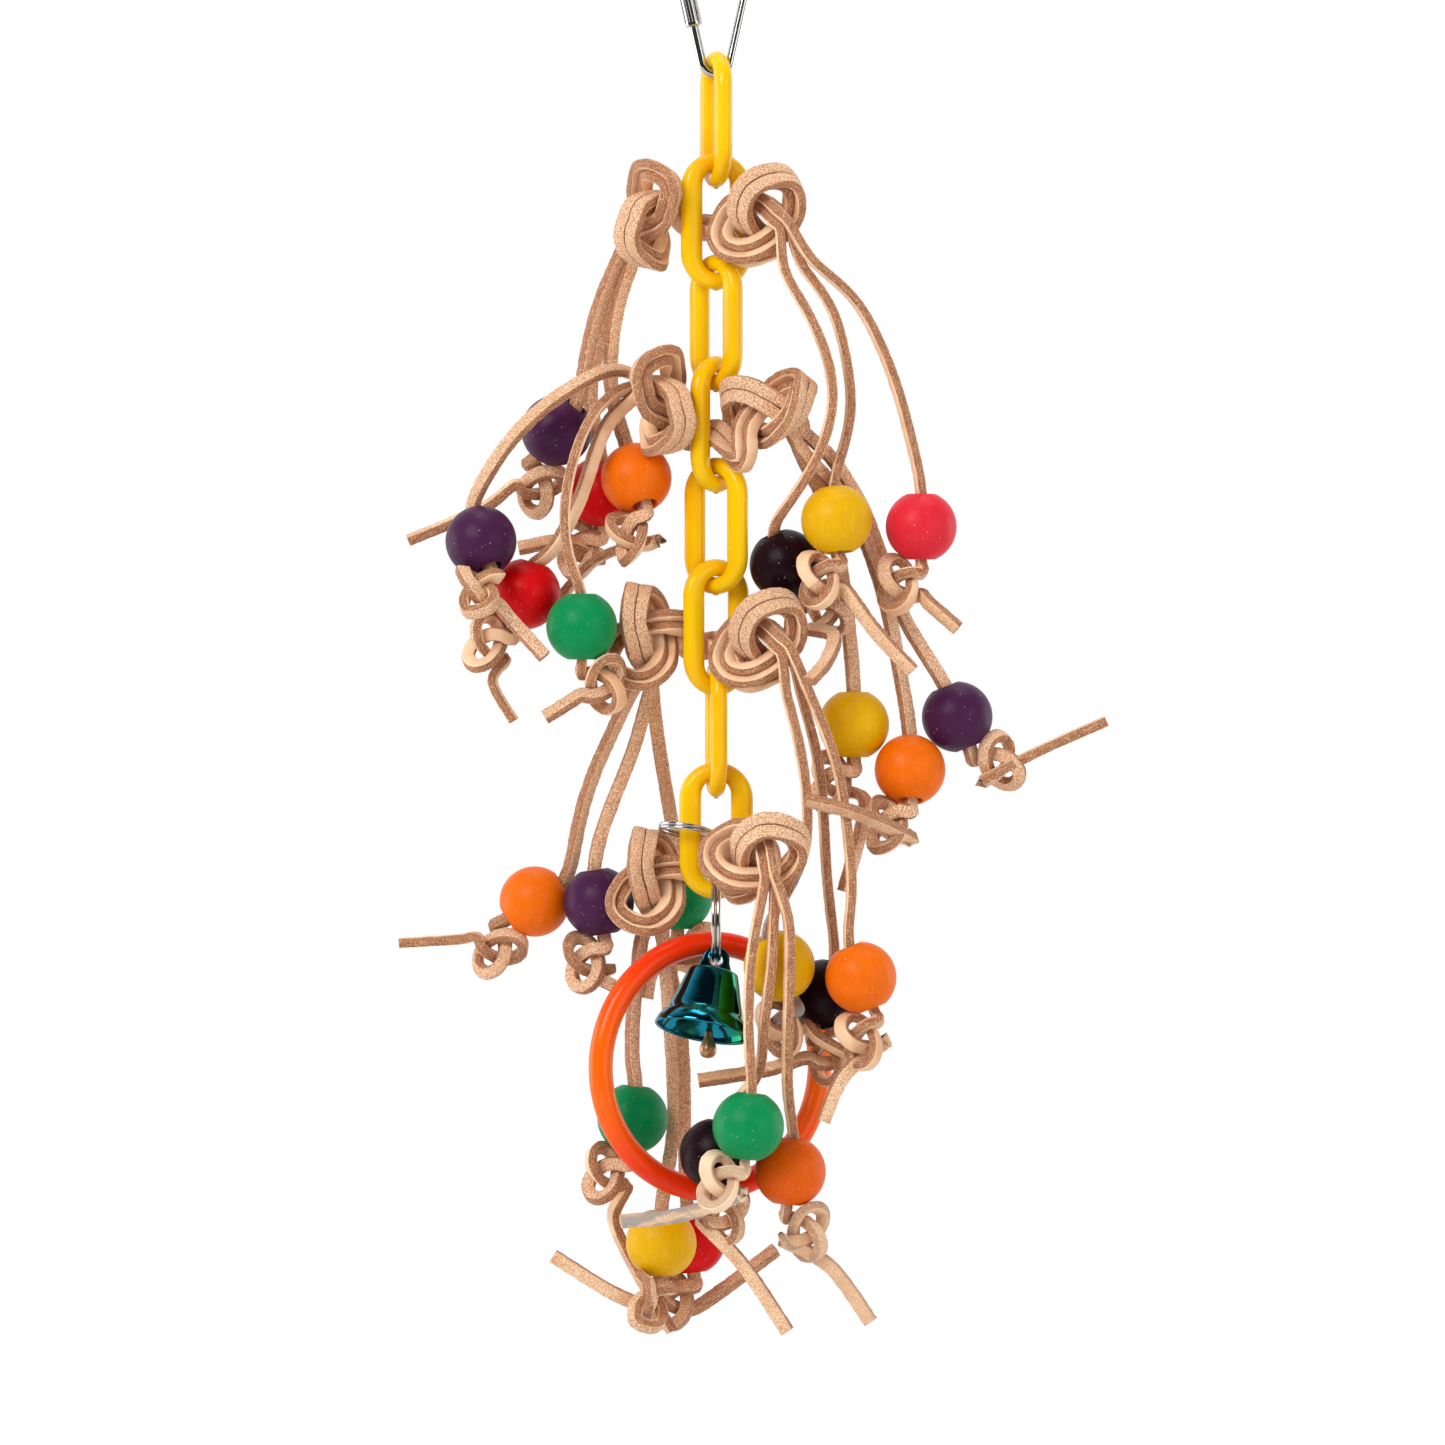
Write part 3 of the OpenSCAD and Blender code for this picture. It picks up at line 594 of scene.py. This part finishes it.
def turns(x, y, z):
    return (Matrix.Rotation(math.radians(z), 4, "Z") @ Matrix.Rotation(math.radians(y), 4, "Y")
            @ Matrix.Rotation(math.radians(x), 4, "X"))


# materials
leatherLook = {"grain": (0.98, 0.67, 0.42), "grainDark": (0.72, 0.39, 0.195), "flesh": (0.97, 0.66, 0.43),
               "fleshDark": (0.50, 0.225, 0.105), "edge": (0.48, 0.21, 0.095), "edgeDark": (0.28, 0.10, 0.04),
               "pale": (0.93, 0.76, 0.54), "mark": (0.30, 0.29, 0.28), "worn": (3.2, 62.5)}


def leatherFinish(name, pale=None, marks=None):
    # pale: how much, and from where along the lace in cm; marks: from and to in cm, and how much
    look = leatherLook
    f = Finish(name, {"Sheen Weight": 0.1, "Sheen Roughness": 0.5, "Subsurface Weight": 0.12,
                      "Subsurface Scale": 0.0012, "Specular IOR Level": 0.25})
    uv = f.node("ShaderNodeUVMap", {"uv_map": "sides"}, {})
    u = f.part(uv, 0)
    flesh = (u > 2.0) * (u < 3.0)
    edge = (u > 1.0) * (u < 2.0) + (u > 3.0)
    broad = f.noise(f.place, 55, 3, 0.6)
    fine = f.noise(f.place, 900, 3, 0.6)
    fuzz = f.noise(f.place, 2600, 2, 0.7)
    streak = f.noise(f.stretched((6, 2.2, 1), uv), 1.0, 3, 0.6)
    grain = f.mixed(broad.between(0.38, 0.72), look["grain"], look["grainDark"])
    grain = f.mixed(fine.between(0.55, 0.75) * 0.3, grain, look["grainDark"])
    along = f.part(uv, 1)
    # the smooth side is worn rough near both ends
    worn = (along < look["worn"][0]) + (along > look["worn"][1])
    grain = f.mixed(fuzz.between(0.44, 0.6) * worn * 0.75, grain, look["fleshDark"])
    rough = f.mixed(fuzz.between(0.4, 0.58), look["fleshDark"], look["flesh"])
    rough = f.mixed(broad.between(0.4, 0.75) * 0.4, rough, look["grainDark"])
    side = f.mixed(streak.between(0.3, 0.7), look["edgeDark"], look["edge"])
    side = f.mixed(fuzz.between(0.5, 0.66) * 0.6, side, look["flesh"])
    color = f.mixed(flesh, f.mixed(edge, grain, side), rough)
    if pale:
        color = f.mixed(along.between(pale[1] - 1, pale[1] + 1) * pale[0], color, look["pale"])
    if marks:
        spots = f.noise(f.stretched((0.7, 1.1, 1), uv), 1.0, 2, 0.5).between(0.4, 0.54)
        color = f.mixed((along > marks[0]) * (along < marks[1]) * spots * marks[2], color, look["mark"])
    f.feed("Base Color", color)
    f.feed("Roughness", (flesh + edge * 0.7) * 0.3 + 0.5)
    return f.bump(fine * 0.3 + fuzz * (flesh * 0.9 + edge * 0.6 + 0.08) + streak * edge * 0.3, 0.5, 0.0004)


def woodFinish(name, color):
    f = Finish(name, {"IOR": 1.45, "Specular IOR Level": 0.16})
    lines = f.noise(f.stretched((1100, 1100, 90), f.place), 1.0, 3, 0.6)
    broad = f.noise(f.place, 110, 2, 0.5)
    specks = f.noise(f.place, 1900, 1, 0.5)
    base = f.mixed(lines.between(0.35, 0.65) * 0.22, color, tuple(c * 0.6 for c in color))
    base = f.mixed(broad.between(0.45, 0.7) * 0.35, base, tuple(min(1, c * 1.12 + 0.001) for c in color))
    base = f.mixed(specks.between(0.75, 0.78) * 0.55, base, (0.85, 0.78, 0.70))
    f.feed("Base Color", base)
    f.feed("Roughness", lines * 0.16 + 0.3)
    return f.bump(lines * 0.5 + specks.between(0.7, 0.8) * 0.5, 0.2, 0.0002)


def plasticFinish(name, look):
    f = Finish(name, {"IOR": 1.47, "Specular IOR Level": 0.28, "Subsurface Weight": look["depth"],
                      "Subsurface Radius": look["radius"], "Subsurface Scale": 0.003})
    cloud = f.noise(f.place, 60, 2, 0.5)
    color = f.mixed(cloud.between(0.3, 0.75), look["color"], look["second"])
    if "ends" in look:
        # redder towards the top and the bottom of the ring
        away = f.node("ShaderNodeMath", {"operation": "ABSOLUTE"}, {0: f.part(f.place, 2) - look["middle"]})
        color = f.mixed(away.between(0.008, 0.036), color, look["ends"])
    f.feed("Base Color", color)
    f.feed("Roughness", f.noise(f.place, 350, 3, 0.6) * 0.1 + look["roughness"] - 0.04)
    return f.bump(f.noise(f.place, 240, 2, 0.5), 0.06, 0.0006)


def metalFinish(name, look):
    f = Finish(name, {"Metallic": 1.0})
    cloud = f.noise(f.place, look["scale"], 3, 0.55)
    color = f.mixed(cloud.between(0.3, 0.72), look["color"], look["second"])
    if "right" in look:
        # painted reflection: the plating is painted greener to the right, standing in for the green streak
        # reflected there
        color = f.mixed(f.part(f.place, 0).between(0.001, 0.006), color, look["right"])
    f.feed("Base Color", color)
    f.feed("Roughness", f.noise(f.place, 400, 3, 0.6) * 0.08 + look["roughness"] - 0.04)
    return f.bump(f.noise(f.place, 260, 2, 0.5), 0.03, 0.0003)


paints = {"purple": (0.062, 0.012, 0.055), "plum": (0.012, 0.0012, 0.005), "rose": (0.74, 0.022, 0.04),
          "red": (0.68, 0.001, 0.003), "orange": (0.86, 0.15, 0.001), "amber": (0.78, 0.11, 0.001),
          "yellow": (0.80, 0.43, 0.001), "green": (0.001, 0.26, 0.075)}
beadSlots = {"plum": "purple", "rose": "red", "amber": "orange"}
beadFinishes = {name: woodFinish("wood_" + name, color) for name, color in paints.items()}
leather = leatherFinish("leather")
paleLeather = leatherFinish("leather_pale", pale=(0.2, 60))
markedLeather = leatherFinish("leather_marked", pale=(0.4, 53), marks=(61.4, 64.8, 0.75))
stainedLeather = leatherFinish("leather_stained", marks=(48, 54, 0.9))
laceFinishes = {"4b": paleLeather, "4c": markedLeather, "3c": stainedLeather}
yellowPlastic = plasticFinish("plastic_yellow", {
    "color": (0.93, 0.57, 0.001), "second": (0.88, 0.46, 0.001), "roughness": 0.2, "depth": 0.25,
    "radius": (1.0, 0.8, 0.05)})
orangePlastic = plasticFinish("plastic_orange", {
    "color": (0.95, 0.145, 0.001), "second": (0.93, 0.11, 0.001), "ends": (0.84, 0.03, 0.001),
    "middle": -0.3257, "roughness": 0.2, "depth": 0.3, "radius": (1.0, 0.3, 0.05)})
nickel = metalFinish("nickel", {
    "color": (0.64, 0.63, 0.61), "second": (0.52, 0.51, 0.50), "roughness": 0.16, "scale": 90})
# the right colour of the teal metal is a painted reflection: a green streak on the right of the bell and the
# clapper stem
tealMetal = metalFinish("teal_metal", {
    "color": (0.015, 0.25, 0.36), "second": (0.01, 0.17, 0.25), "right": (0.008, 0.19, 0.09),
    "roughness": 0.11, "scale": 60})
brassMetal = metalFinish("brass_metal", {
    "color": (0.62, 0.38, 0.20), "second": (0.48, 0.27, 0.13), "roughness": 0.4, "scale": 300})
for name, obj in zip(laces, laceObjects):
    obj.data.materials.append(laceFinishes.get(name, leather))
print("stage: materials made")

# beads: turned wood; mouth says how far out from the bore and how far down from the end the rounded edge runs
beadShape = {"round": 0.010, "half": 0.0092, "hole": 0.0034, "waist": 0.0015, "steps": 26, "segments": 72,
             "mouth": [(0.0006, 0), (0.0003, 0.00008), (0.0001, 0.0003), (0, 0.0007), (0, 0.0035)]}


def beadProfile():
    s = beadShape
    top = math.asin((s["half"] - 0.0001) / s["round"])
    angles = [-top + 2 * top * i / s["steps"] for i in range(s["steps"] + 1)]
    outside = [(s["round"] * math.cos(angle), s["round"] * math.sin(angle)) for angle in angles]
    inside = [(s["hole"] + out, s["half"] - down) for out, down in s["mouth"]] + [(s["hole"], s["waist"])]
    return outside + inside + [(radius, -height) for radius, height in inside[::-1]]


for name, lace in laces.items():
    for side in ("left", "right"):
        end = lace[side]
        leaning = Vector((0, 0, 1)).rotation_difference(-unit(end["aim"])).to_matrix().to_4x4()
        matrix = Matrix.Translation(Vector(end["bead"]) + lift) @ leaning
        bm = bmesh.new()
        turned(bm, beadProfile(), beadShape["segments"], matrix)
        node = "bead_%s_%s" % (name, side)
        mesh = finished(bm, node + "_wood", beadFinishes[end["paint"]])
        addObject(node + "_wood", mesh, "strand", [node], "bead_" + beadSlots.get(end["paint"], end["paint"]))
print("stage: beads made")

# chain links: flat oval plastic links with a small mark where the mould was filled
linkShape = {"length": 0.0384, "width": 0.0206, "side": 0.00615, "end": 0.00475, "thick": 0.0047,
             "top": -0.03995, "pitch": 0.0286, "seam": 0.00007, "mark": (0.0011, 0.0007, 0.0005),
             "around": 26, "straight": 10, "section": 12}
linkTurns = [-74, 18, -50, 52, -34, 30, -84, 0]


def linkStations():
    # pairs of points round the link, one on its outer and one on its inner edge
    s = linkShape
    outer = s["width"] / 2
    inner = outer - s["side"]
    outStraight = s["length"] / 2 - outer
    inStraight = s["length"] / 2 - s["end"] - inner
    stations = []
    for sign in (1, -1):
        for i in range(s["around"] + 1):
            angle = math.pi * i / s["around"]
            x, z = math.cos(angle) * sign, math.sin(angle) * sign
            stations.append(((outer * x, outStraight * sign + outer * z),
                             (inner * x, inStraight * sign + inner * z)))
        for i in range(1, s["straight"]):
            down = 1 - 2 * i / s["straight"]
            stations.append(((-outer * sign, outStraight * sign * down),
                             (-inner * sign, inStraight * sign * down)))
    return stations


def linkMesh(bm, number):
    s = linkShape
    radius = s["thick"] / 2
    count = s["section"]
    centre = Vector((0, 0, s["top"] - (number - 1) * s["pitch"] - s["length"] / 2))
    matrix = Matrix.Translation(centre) @ turns(0, 0, linkTurns[number - 1])
    rings = []
    for (outX, outZ), (inX, inZ) in linkStations():
        out = Vector((outX - inX, 0, outZ - inZ)).normalized()
        ring = []
        # two half rounds, with the fine seam of the mould along the middle of the outer one
        for middle, start, seam in ((Vector((outX, 0, outZ)) - out * radius, -math.pi / 2, s["seam"]),
                                    (Vector((inX, 0, inZ)) + out * radius, math.pi / 2, 0)):
            for i in range(count + 1):
                angle = start + math.pi * i / count
                reach = math.cos(angle) * radius + (seam if i == count // 2 else 0)
                ring.append(middle + out * reach + Vector((0, math.sin(angle) * radius, 0)))
        rings.append([matrix @ point for point in ring])
    skinned(bm, rings, closed=True)
    mark = matrix @ Matrix.Translation((0, 0, 0.0001 - s["length"] / 2)) @ Matrix.Diagonal(s["mark"] + (1,))
    bmesh.ops.create_uvsphere(bm, u_segments=16, v_segments=10, radius=1, matrix=mark)


for number in range(1, len(linkTurns) + 1):
    bm = bmesh.new()
    linkMesh(bm, number)
    name = "chain_link_%d" % number
    addObject(name + "_plastic", finished(bm, name + "_plastic", yellowPlastic),
              "top_link" if number == 1 else "strand", [name], "chain_yellow")
print("stage: chain made")

# rings
playRing = {"centre": (-0.001515, 0.001728, -0.325738), "turn": 27, "round": 0.0346, "thick": 0.0068,
            "section": 28, "segments": 128}


def circle(x, radius, count, high=None):
    # closed profile for turned: a circle, or an ellipse, whose middle is x away from the axis
    angles = [2 * math.pi * i / count for i in range(count)]
    return [(x + radius * math.cos(angle), (high or radius) * math.sin(angle)) for angle in angles]


bm = bmesh.new()
matrix = Matrix.Translation(playRing["centre"]) @ turns(0, 0, playRing["turn"]) @ turns(90, 0, 0)
section = circle(playRing["round"], playRing["thick"] / 2, playRing["section"])
turned(bm, section, playRing["segments"], matrix)
addObject("play_ring_plastic", finished(bm, "play_ring_plastic", orangePlastic), "play_ring", ["play_ring"],
          "ring_orange")

splitRings = {
    "carrier_ring": {"centre": (0, 0, -0.2846), "tilt": (0, 90, 0), "turn": 140, "size": 0.025,
                     "wire": 0.0014, "body": "carrier"},
    "keeper_ring": {"centre": (-0.008325, 0, -0.25935), "tilt": (-10, 9, 0), "turn": 200, "size": 0.016,
                    "wire": 0.001, "body": "strand"},
}
windings = {"steps": 240, "degrees": 720, "crossFrom": 345, "crossOver": 30, "apart": 0.49}


def splitRingLine(ring):
    # two windings of wire that cross over from the lower to the upper one halfway
    w = windings
    radius = (ring["size"] - ring["wire"]) / 2
    matrix = Matrix.Translation(ring["centre"]) @ turns(*ring["tilt"]) @ turns(0, 0, ring["turn"])
    points = []
    for i in range(w["steps"] + 1):
        degrees = w["degrees"] * i / w["steps"]
        share = min(1, max(0, (degrees - w["crossFrom"]) / w["crossOver"]))
        share = share * share * (3 - 2 * share)
        angle = math.radians(degrees)
        points.append(matrix @ Vector((radius * math.cos(angle), radius * math.sin(angle),
                                       ring["wire"] * w["apart"] * (2 * share - 1))))
    return points


for name, ring in splitRings.items():
    points = splitRingLine(ring)
    bm = bmesh.new()
    tube(bm, points, [ring["wire"] / 2] * len(points), 14)
    addObject(name + "_wire", finished(bm, name + "_wire", nickel), ring["body"], [name], "nickel")

# quick link: one bent wire with a thread at each side of its opening
quickLink = {"wire": 0.0025, "small": 0.004, "large": 0.011, "low": -0.04225, "high": -0.00975,
             "gap": (0.0145, 0.0195), "threadAbove": 0.0075, "threadBelow": 0.0034, "pitch": 0.0006,
             "deep": 0.00013, "threadStep": 0.00012}


def quickLinkLine():
    # from the opening up the left leg, over the wide bend, down the right leg and round the narrow bend
    s = quickLink
    low, high, small, large = s["low"], s["high"], s["small"], s["large"]
    gapLow, gapHigh = s["gap"]
    lean = math.asin((large - small) / (high - low))
    foot = Vector((-small * math.cos(lean), 0, low - small * math.sin(lean)))
    rise = Vector((-math.sin(lean), 0, math.cos(lean)))
    legLong = (high - low) * math.cos(lean)
    points, radii = [], []

    def addLeg(start, end, threaded):
        count = int((end - start) / s["threadStep"]) if threaded else 12
        for i in range(count + 1):
            up = start + (end - start) * i / count
            points.append(foot + rise * up)
            wave = 0.5 - 0.5 * math.cos(2 * math.pi * up / s["pitch"])
            radii.append(s["wire"] / 2 - (s["deep"] * wave if threaded else 0))

    def addBend(radius, height, start, turn, count):
        for i in range(1, count):
            angle = start - turn * i / count
            points.append(Vector((radius * math.cos(angle), 0, height + radius * math.sin(angle))))
            radii.append(s["wire"] / 2)

    addLeg(gapHigh, gapHigh + s["threadAbove"], True)
    addLeg(gapHigh + s["threadAbove"] + s["pitch"], legLong, False)
    addBend(large, high, math.pi + lean, math.pi + 2 * lean, 40)
    for share in (1, 0.75, 0.5, 0.25, 0):
        mirrored = foot + rise * (legLong * share)
        points.append(Vector((-mirrored.x, 0, mirrored.z)))
        radii.append(s["wire"] / 2)
    addBend(small, low, -lean, math.pi - 2 * lean, 24)
    addLeg(0, gapLow - s["threadBelow"] - s["pitch"], False)
    addLeg(gapLow - s["threadBelow"], gapLow, True)
    return points, radii


bm = bmesh.new()
tube(bm, *quickLinkLine(), 24)
addObject("quick_link_wire", finished(bm, "quick_link_wire", nickel), "hanger", ["quick_link"], "nickel")
# the sleeve nut is shown as the CAD has it
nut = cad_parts["quick_link_nut"]
for slot in nut.material_slots:
    slot.material = nickel
if not nut.material_slots:
    nut.data.materials.append(nickel)
print("stage: rings and quick link made")

# bell: outline gives radius and depth as shares of round and height, from the top down; the inner wall
# leaves out the last few points of the smoothed outline, as many as lip says
bellShape = {"centre": (0, -0.0045, -0.295708), "tilt": (-14, 11, 0), "round": 0.0136, "height": 0.018,
             "top": 0.003, "wall": 0.0008, "lip": 6, "crown": 0.003, "centreHole": 0.0002, "segments": 128,
             "outline": [(0.42, 0), (0.5, 0.025), (0.535, 0.08), (0.6, 0.23), (0.67, 0.41), (0.745, 0.58),
                         (0.8, 0.7), (0.895, 0.79), (0.965, 0.88), (1, 0.955), (0.995, 0.99), (0.97, 1)]}
eyeShape = {"hole": 0.00185, "round": 0.0038, "thick": 0.0012, "down": 0.0034, "foot": 0.0037, "slope": 0.441,
            "bevel": 0.00018, "around": 72}
pinShape = {"down": 0.0064, "long": 0.0152, "radius": 0.0006, "steps": 8, "sides": 14}
inBell = Matrix.Translation(bellShape["centre"]) @ turns(*bellShape["tilt"])


def bellProfile():
    # from the middle of the top out and down to the lip, and back inside the wall
    s = bellShape
    under = -s["top"] - s["wall"]
    outside = smoothed(smoothed([Vector((share * s["round"], -s["top"] - depth * s["height"], 0))
                                 for share, depth in s["outline"]]))
    inside = [point - Vector((s["wall"], 0, 0)) for point in outside[:-s["lip"]]][::-1]
    start = [(s["centreHole"], -s["top"]), (s["crown"], -s["top"])]
    end = [(s["crown"], under), (s["centreHole"], under)]
    return (start + [(point.x, point.y) for point in outside]
            + [(point.x, min(point.y, under)) for point in inside] + end)


def eyeEdge(x, z):
    # how far the plate of the eye reaches in a direction: round, with a foot that widens down to the bell
    s = eyeShape
    if z > -0.001:
        return s["round"]
    side = abs(x) + s["slope"] * z
    across = s["foot"] / side if side > 1e-6 else 1
    return max(s["round"], min(s["down"] / -z, across))


def addEye(bm):
    # a flat plate with a hole, extruded and bevelled
    s = eyeShape
    angles = [2 * math.pi * i / s["around"] for i in range(s["around"])]
    directions = [(math.cos(angle), math.sin(angle)) for angle in angles]
    front = -s["thick"] / 2
    outer = [bm.verts.new((x * eyeEdge(x, z), front, z * eyeEdge(x, z))) for x, z in directions]
    inner = [bm.verts.new((x * s["hole"], front, z * s["hole"])) for x, z in directions]
    loops = [[bm.edges.new(pair) for pair in zip(ring, ring[1:] + ring[:1])] for ring in (outer, inner)]
    plate = bmesh.ops.bridge_loops(bm, edges=loops[0] + loops[1])["faces"]
    extruded = bmesh.ops.extrude_face_region(bm, geom=plate)["geom"]
    raised = [item for item in extruded if isinstance(item, bmesh.types.BMVert)]
    bmesh.ops.translate(bm, vec=(0, s["thick"], 0), verts=raised)
    eyeVerts = set(outer + inner + raised)
    # the sharp edges that run round the front and the back of the plate
    rims = [edge for vert in eyeVerts for edge in vert.link_edges if vert == edge.verts[0]
            and len(edge.link_faces) == 2 and edge.calc_face_angle() > 1
            and abs(edge.verts[0].co.y - edge.verts[1].co.y) < 1e-6]
    bevelled = bmesh.ops.bevel(bm, geom=rims, offset=s["bevel"], segments=2, profile=0.5, affect="EDGES",
                               material=-1)
    eyeVerts = {vert for vert in eyeVerts if vert.is_valid} | set(bevelled["verts"])
    bmesh.ops.transform(bm, matrix=inBell, verts=list(eyeVerts))


def addPin(bm):
    s = pinShape
    across = [s["long"] * (i / s["steps"] - 0.5) for i in range(s["steps"] + 1)]
    line = [inBell @ Vector((0, y, -s["down"])) for y in across]
    tube(bm, line, [s["radius"]] * len(line), s["sides"])


bm = bmesh.new()
turned(bm, bellProfile(), bellShape["segments"], inBell, closed=False)
addEye(bm)
addPin(bm)
addObject("bell_shell", finished(bm, "bell_shell", tealMetal), "bell", ["bell"], "teal_chrome")

# clapper: eye round the pin, uneven stem, and a drop, whose outline is radius and height from its top down
clapper = {"long": 0.0215, "stem": 0.0022, "eye": 0.00148, "eyeWire": (0.0005, 0.0006), "start": 0.0018,
           "short": 0.0075, "steps": 12, "drop": [
               (0.0001, 0), (0.0009, -0.0002), (0.00115, -0.0009), (0.0013, -0.0022), (0.0018, -0.0036),
               (0.00225, -0.0048), (0.0024, -0.0058), (0.0022, -0.0069), (0.0015, -0.0078), (0.0006, -0.0081),
               (0.0001, -0.0082)]}
inClapper = inBell @ Matrix.Translation((0, 0, -pinShape["down"])) @ turns(0, -8, 0) @ turns(14, 0, 0)


def addClapperStem(bm):
    s = clapper
    turned(bm, circle(s["eye"], s["eyeWire"][0], 16, s["eyeWire"][1]), 40, inClapper @ turns(90, 0, 0))
    steps = range(s["steps"] + 1)
    down = [s["start"] + (s["long"] - s["short"]) * i / s["steps"] for i in steps]
    line = [inClapper @ Vector((0, 0, -depth)) for depth in down]
    tube(bm, line, [s["stem"] / 2 * (0.9 + 0.1 * math.cos(i)) for i in steps], 20)


def addClapperDrop(bm):
    drop = smoothed([Vector((radius, height, 0)) for radius, height in clapper["drop"]])
    matrix = inClapper @ Matrix.Translation((0, 0, -clapper["long"] - clapper["drop"][-1][1]))
    turned(bm, [(max(0.0001, point.x), point.y) for point in drop], 40, matrix, closed=False)


bm = bmesh.new()
addClapperStem(bm)
addObject("clapper_stem", finished(bm, "clapper_stem", tealMetal), "clapper", ["bell_clapper"], "clapper")
bm = bmesh.new()
addClapperDrop(bm)
addObject("clapper_drop", finished(bm, "clapper_drop", brassMetal), "clapper", [], "clapper")
print("stage: bell made")

# white studio: pale floor below, soft lights, white behind for the camera only
floorShape = {"size": 1.3, "level": -0.62, "glow": 0.5}
bm = bmesh.new()
bmesh.ops.create_grid(bm, x_segments=1, y_segments=1, size=floorShape["size"],
                      matrix=Matrix.Translation((0, 0, floorShape["level"])))
floorFinish = Finish("floor_pale", {"Base Color": (0.86, 0.86, 0.86), "Roughness": 0.7,
                                    "Emission Strength": floorShape["glow"]})
direct = floorFinish.node("ShaderNodeLightPath", {}, {}, "Is Camera Ray")
floorFinish.feed("Emission Color", floorFinish.mixed(direct, (0, 0, 0), (1, 1, 1)))
floorMesh = finished(bm, "floor", floorFinish.material)
floor = bpy.data.objects.new("floor", floorMesh)
scene.collection.objects.link(floor)

lights = {
    "key": {"at": (-1.0, -1.5, 0.85), "size": 1.0, "power": 25},
    "fill": {"at": (1.35, -1.3, 0.1), "size": 1.2, "power": 7.5},
    "top": {"at": (0.1, 0.1, 1.5), "size": 1.0, "power": 9},
    "left": {"at": (-1.5, 0.3, -0.2), "size": 1.0, "power": 7},
    "right": {"at": (1.5, 0.5, -0.2), "size": 1.0, "power": 6},
}
target = Vector((0, 0, -0.2))
for name, lamp in lights.items():
    data = bpy.data.lights.new(name, "AREA")
    data.shape = "SQUARE"
    data.size = lamp["size"]
    data.energy = lamp["power"]
    light = bpy.data.objects.new(name, data)
    light.location = lamp["at"]
    light.rotation_euler = (target - Vector(lamp["at"])).to_track_quat("-Z", "Y").to_euler()
    scene.collection.objects.link(light)

# white to the eye; mirrors see it white behind and dark towards the front, as in a light tent
world = bpy.data.worlds.new("studio")
scene.world = world
world.use_nodes = True
world.node_tree.nodes.clear()
sky = Graph(world.node_tree)
heading = sky.part(sky.node("ShaderNodeTexCoord", {}, {}, "Generated"), 1)
seen = sky.mixed(heading.between(-0.35, 0.5), (0.02, 0.02, 0.022), (1, 1, 1))
glossy = sky.node("ShaderNodeLightPath", {}, {}, "Is Glossy Ray")
direct = sky.node("ShaderNodeLightPath", {}, {}, "Is Camera Ray")
color = sky.mixed(direct, sky.mixed(glossy, (0.45, 0.455, 0.47), seen), (1, 1, 1))
background = sky.node("ShaderNodeBackground", {}, {"Color": color})
sky.node("ShaderNodeOutputWorld", {}, {"Surface": background}, None)
print("stage: studio made")
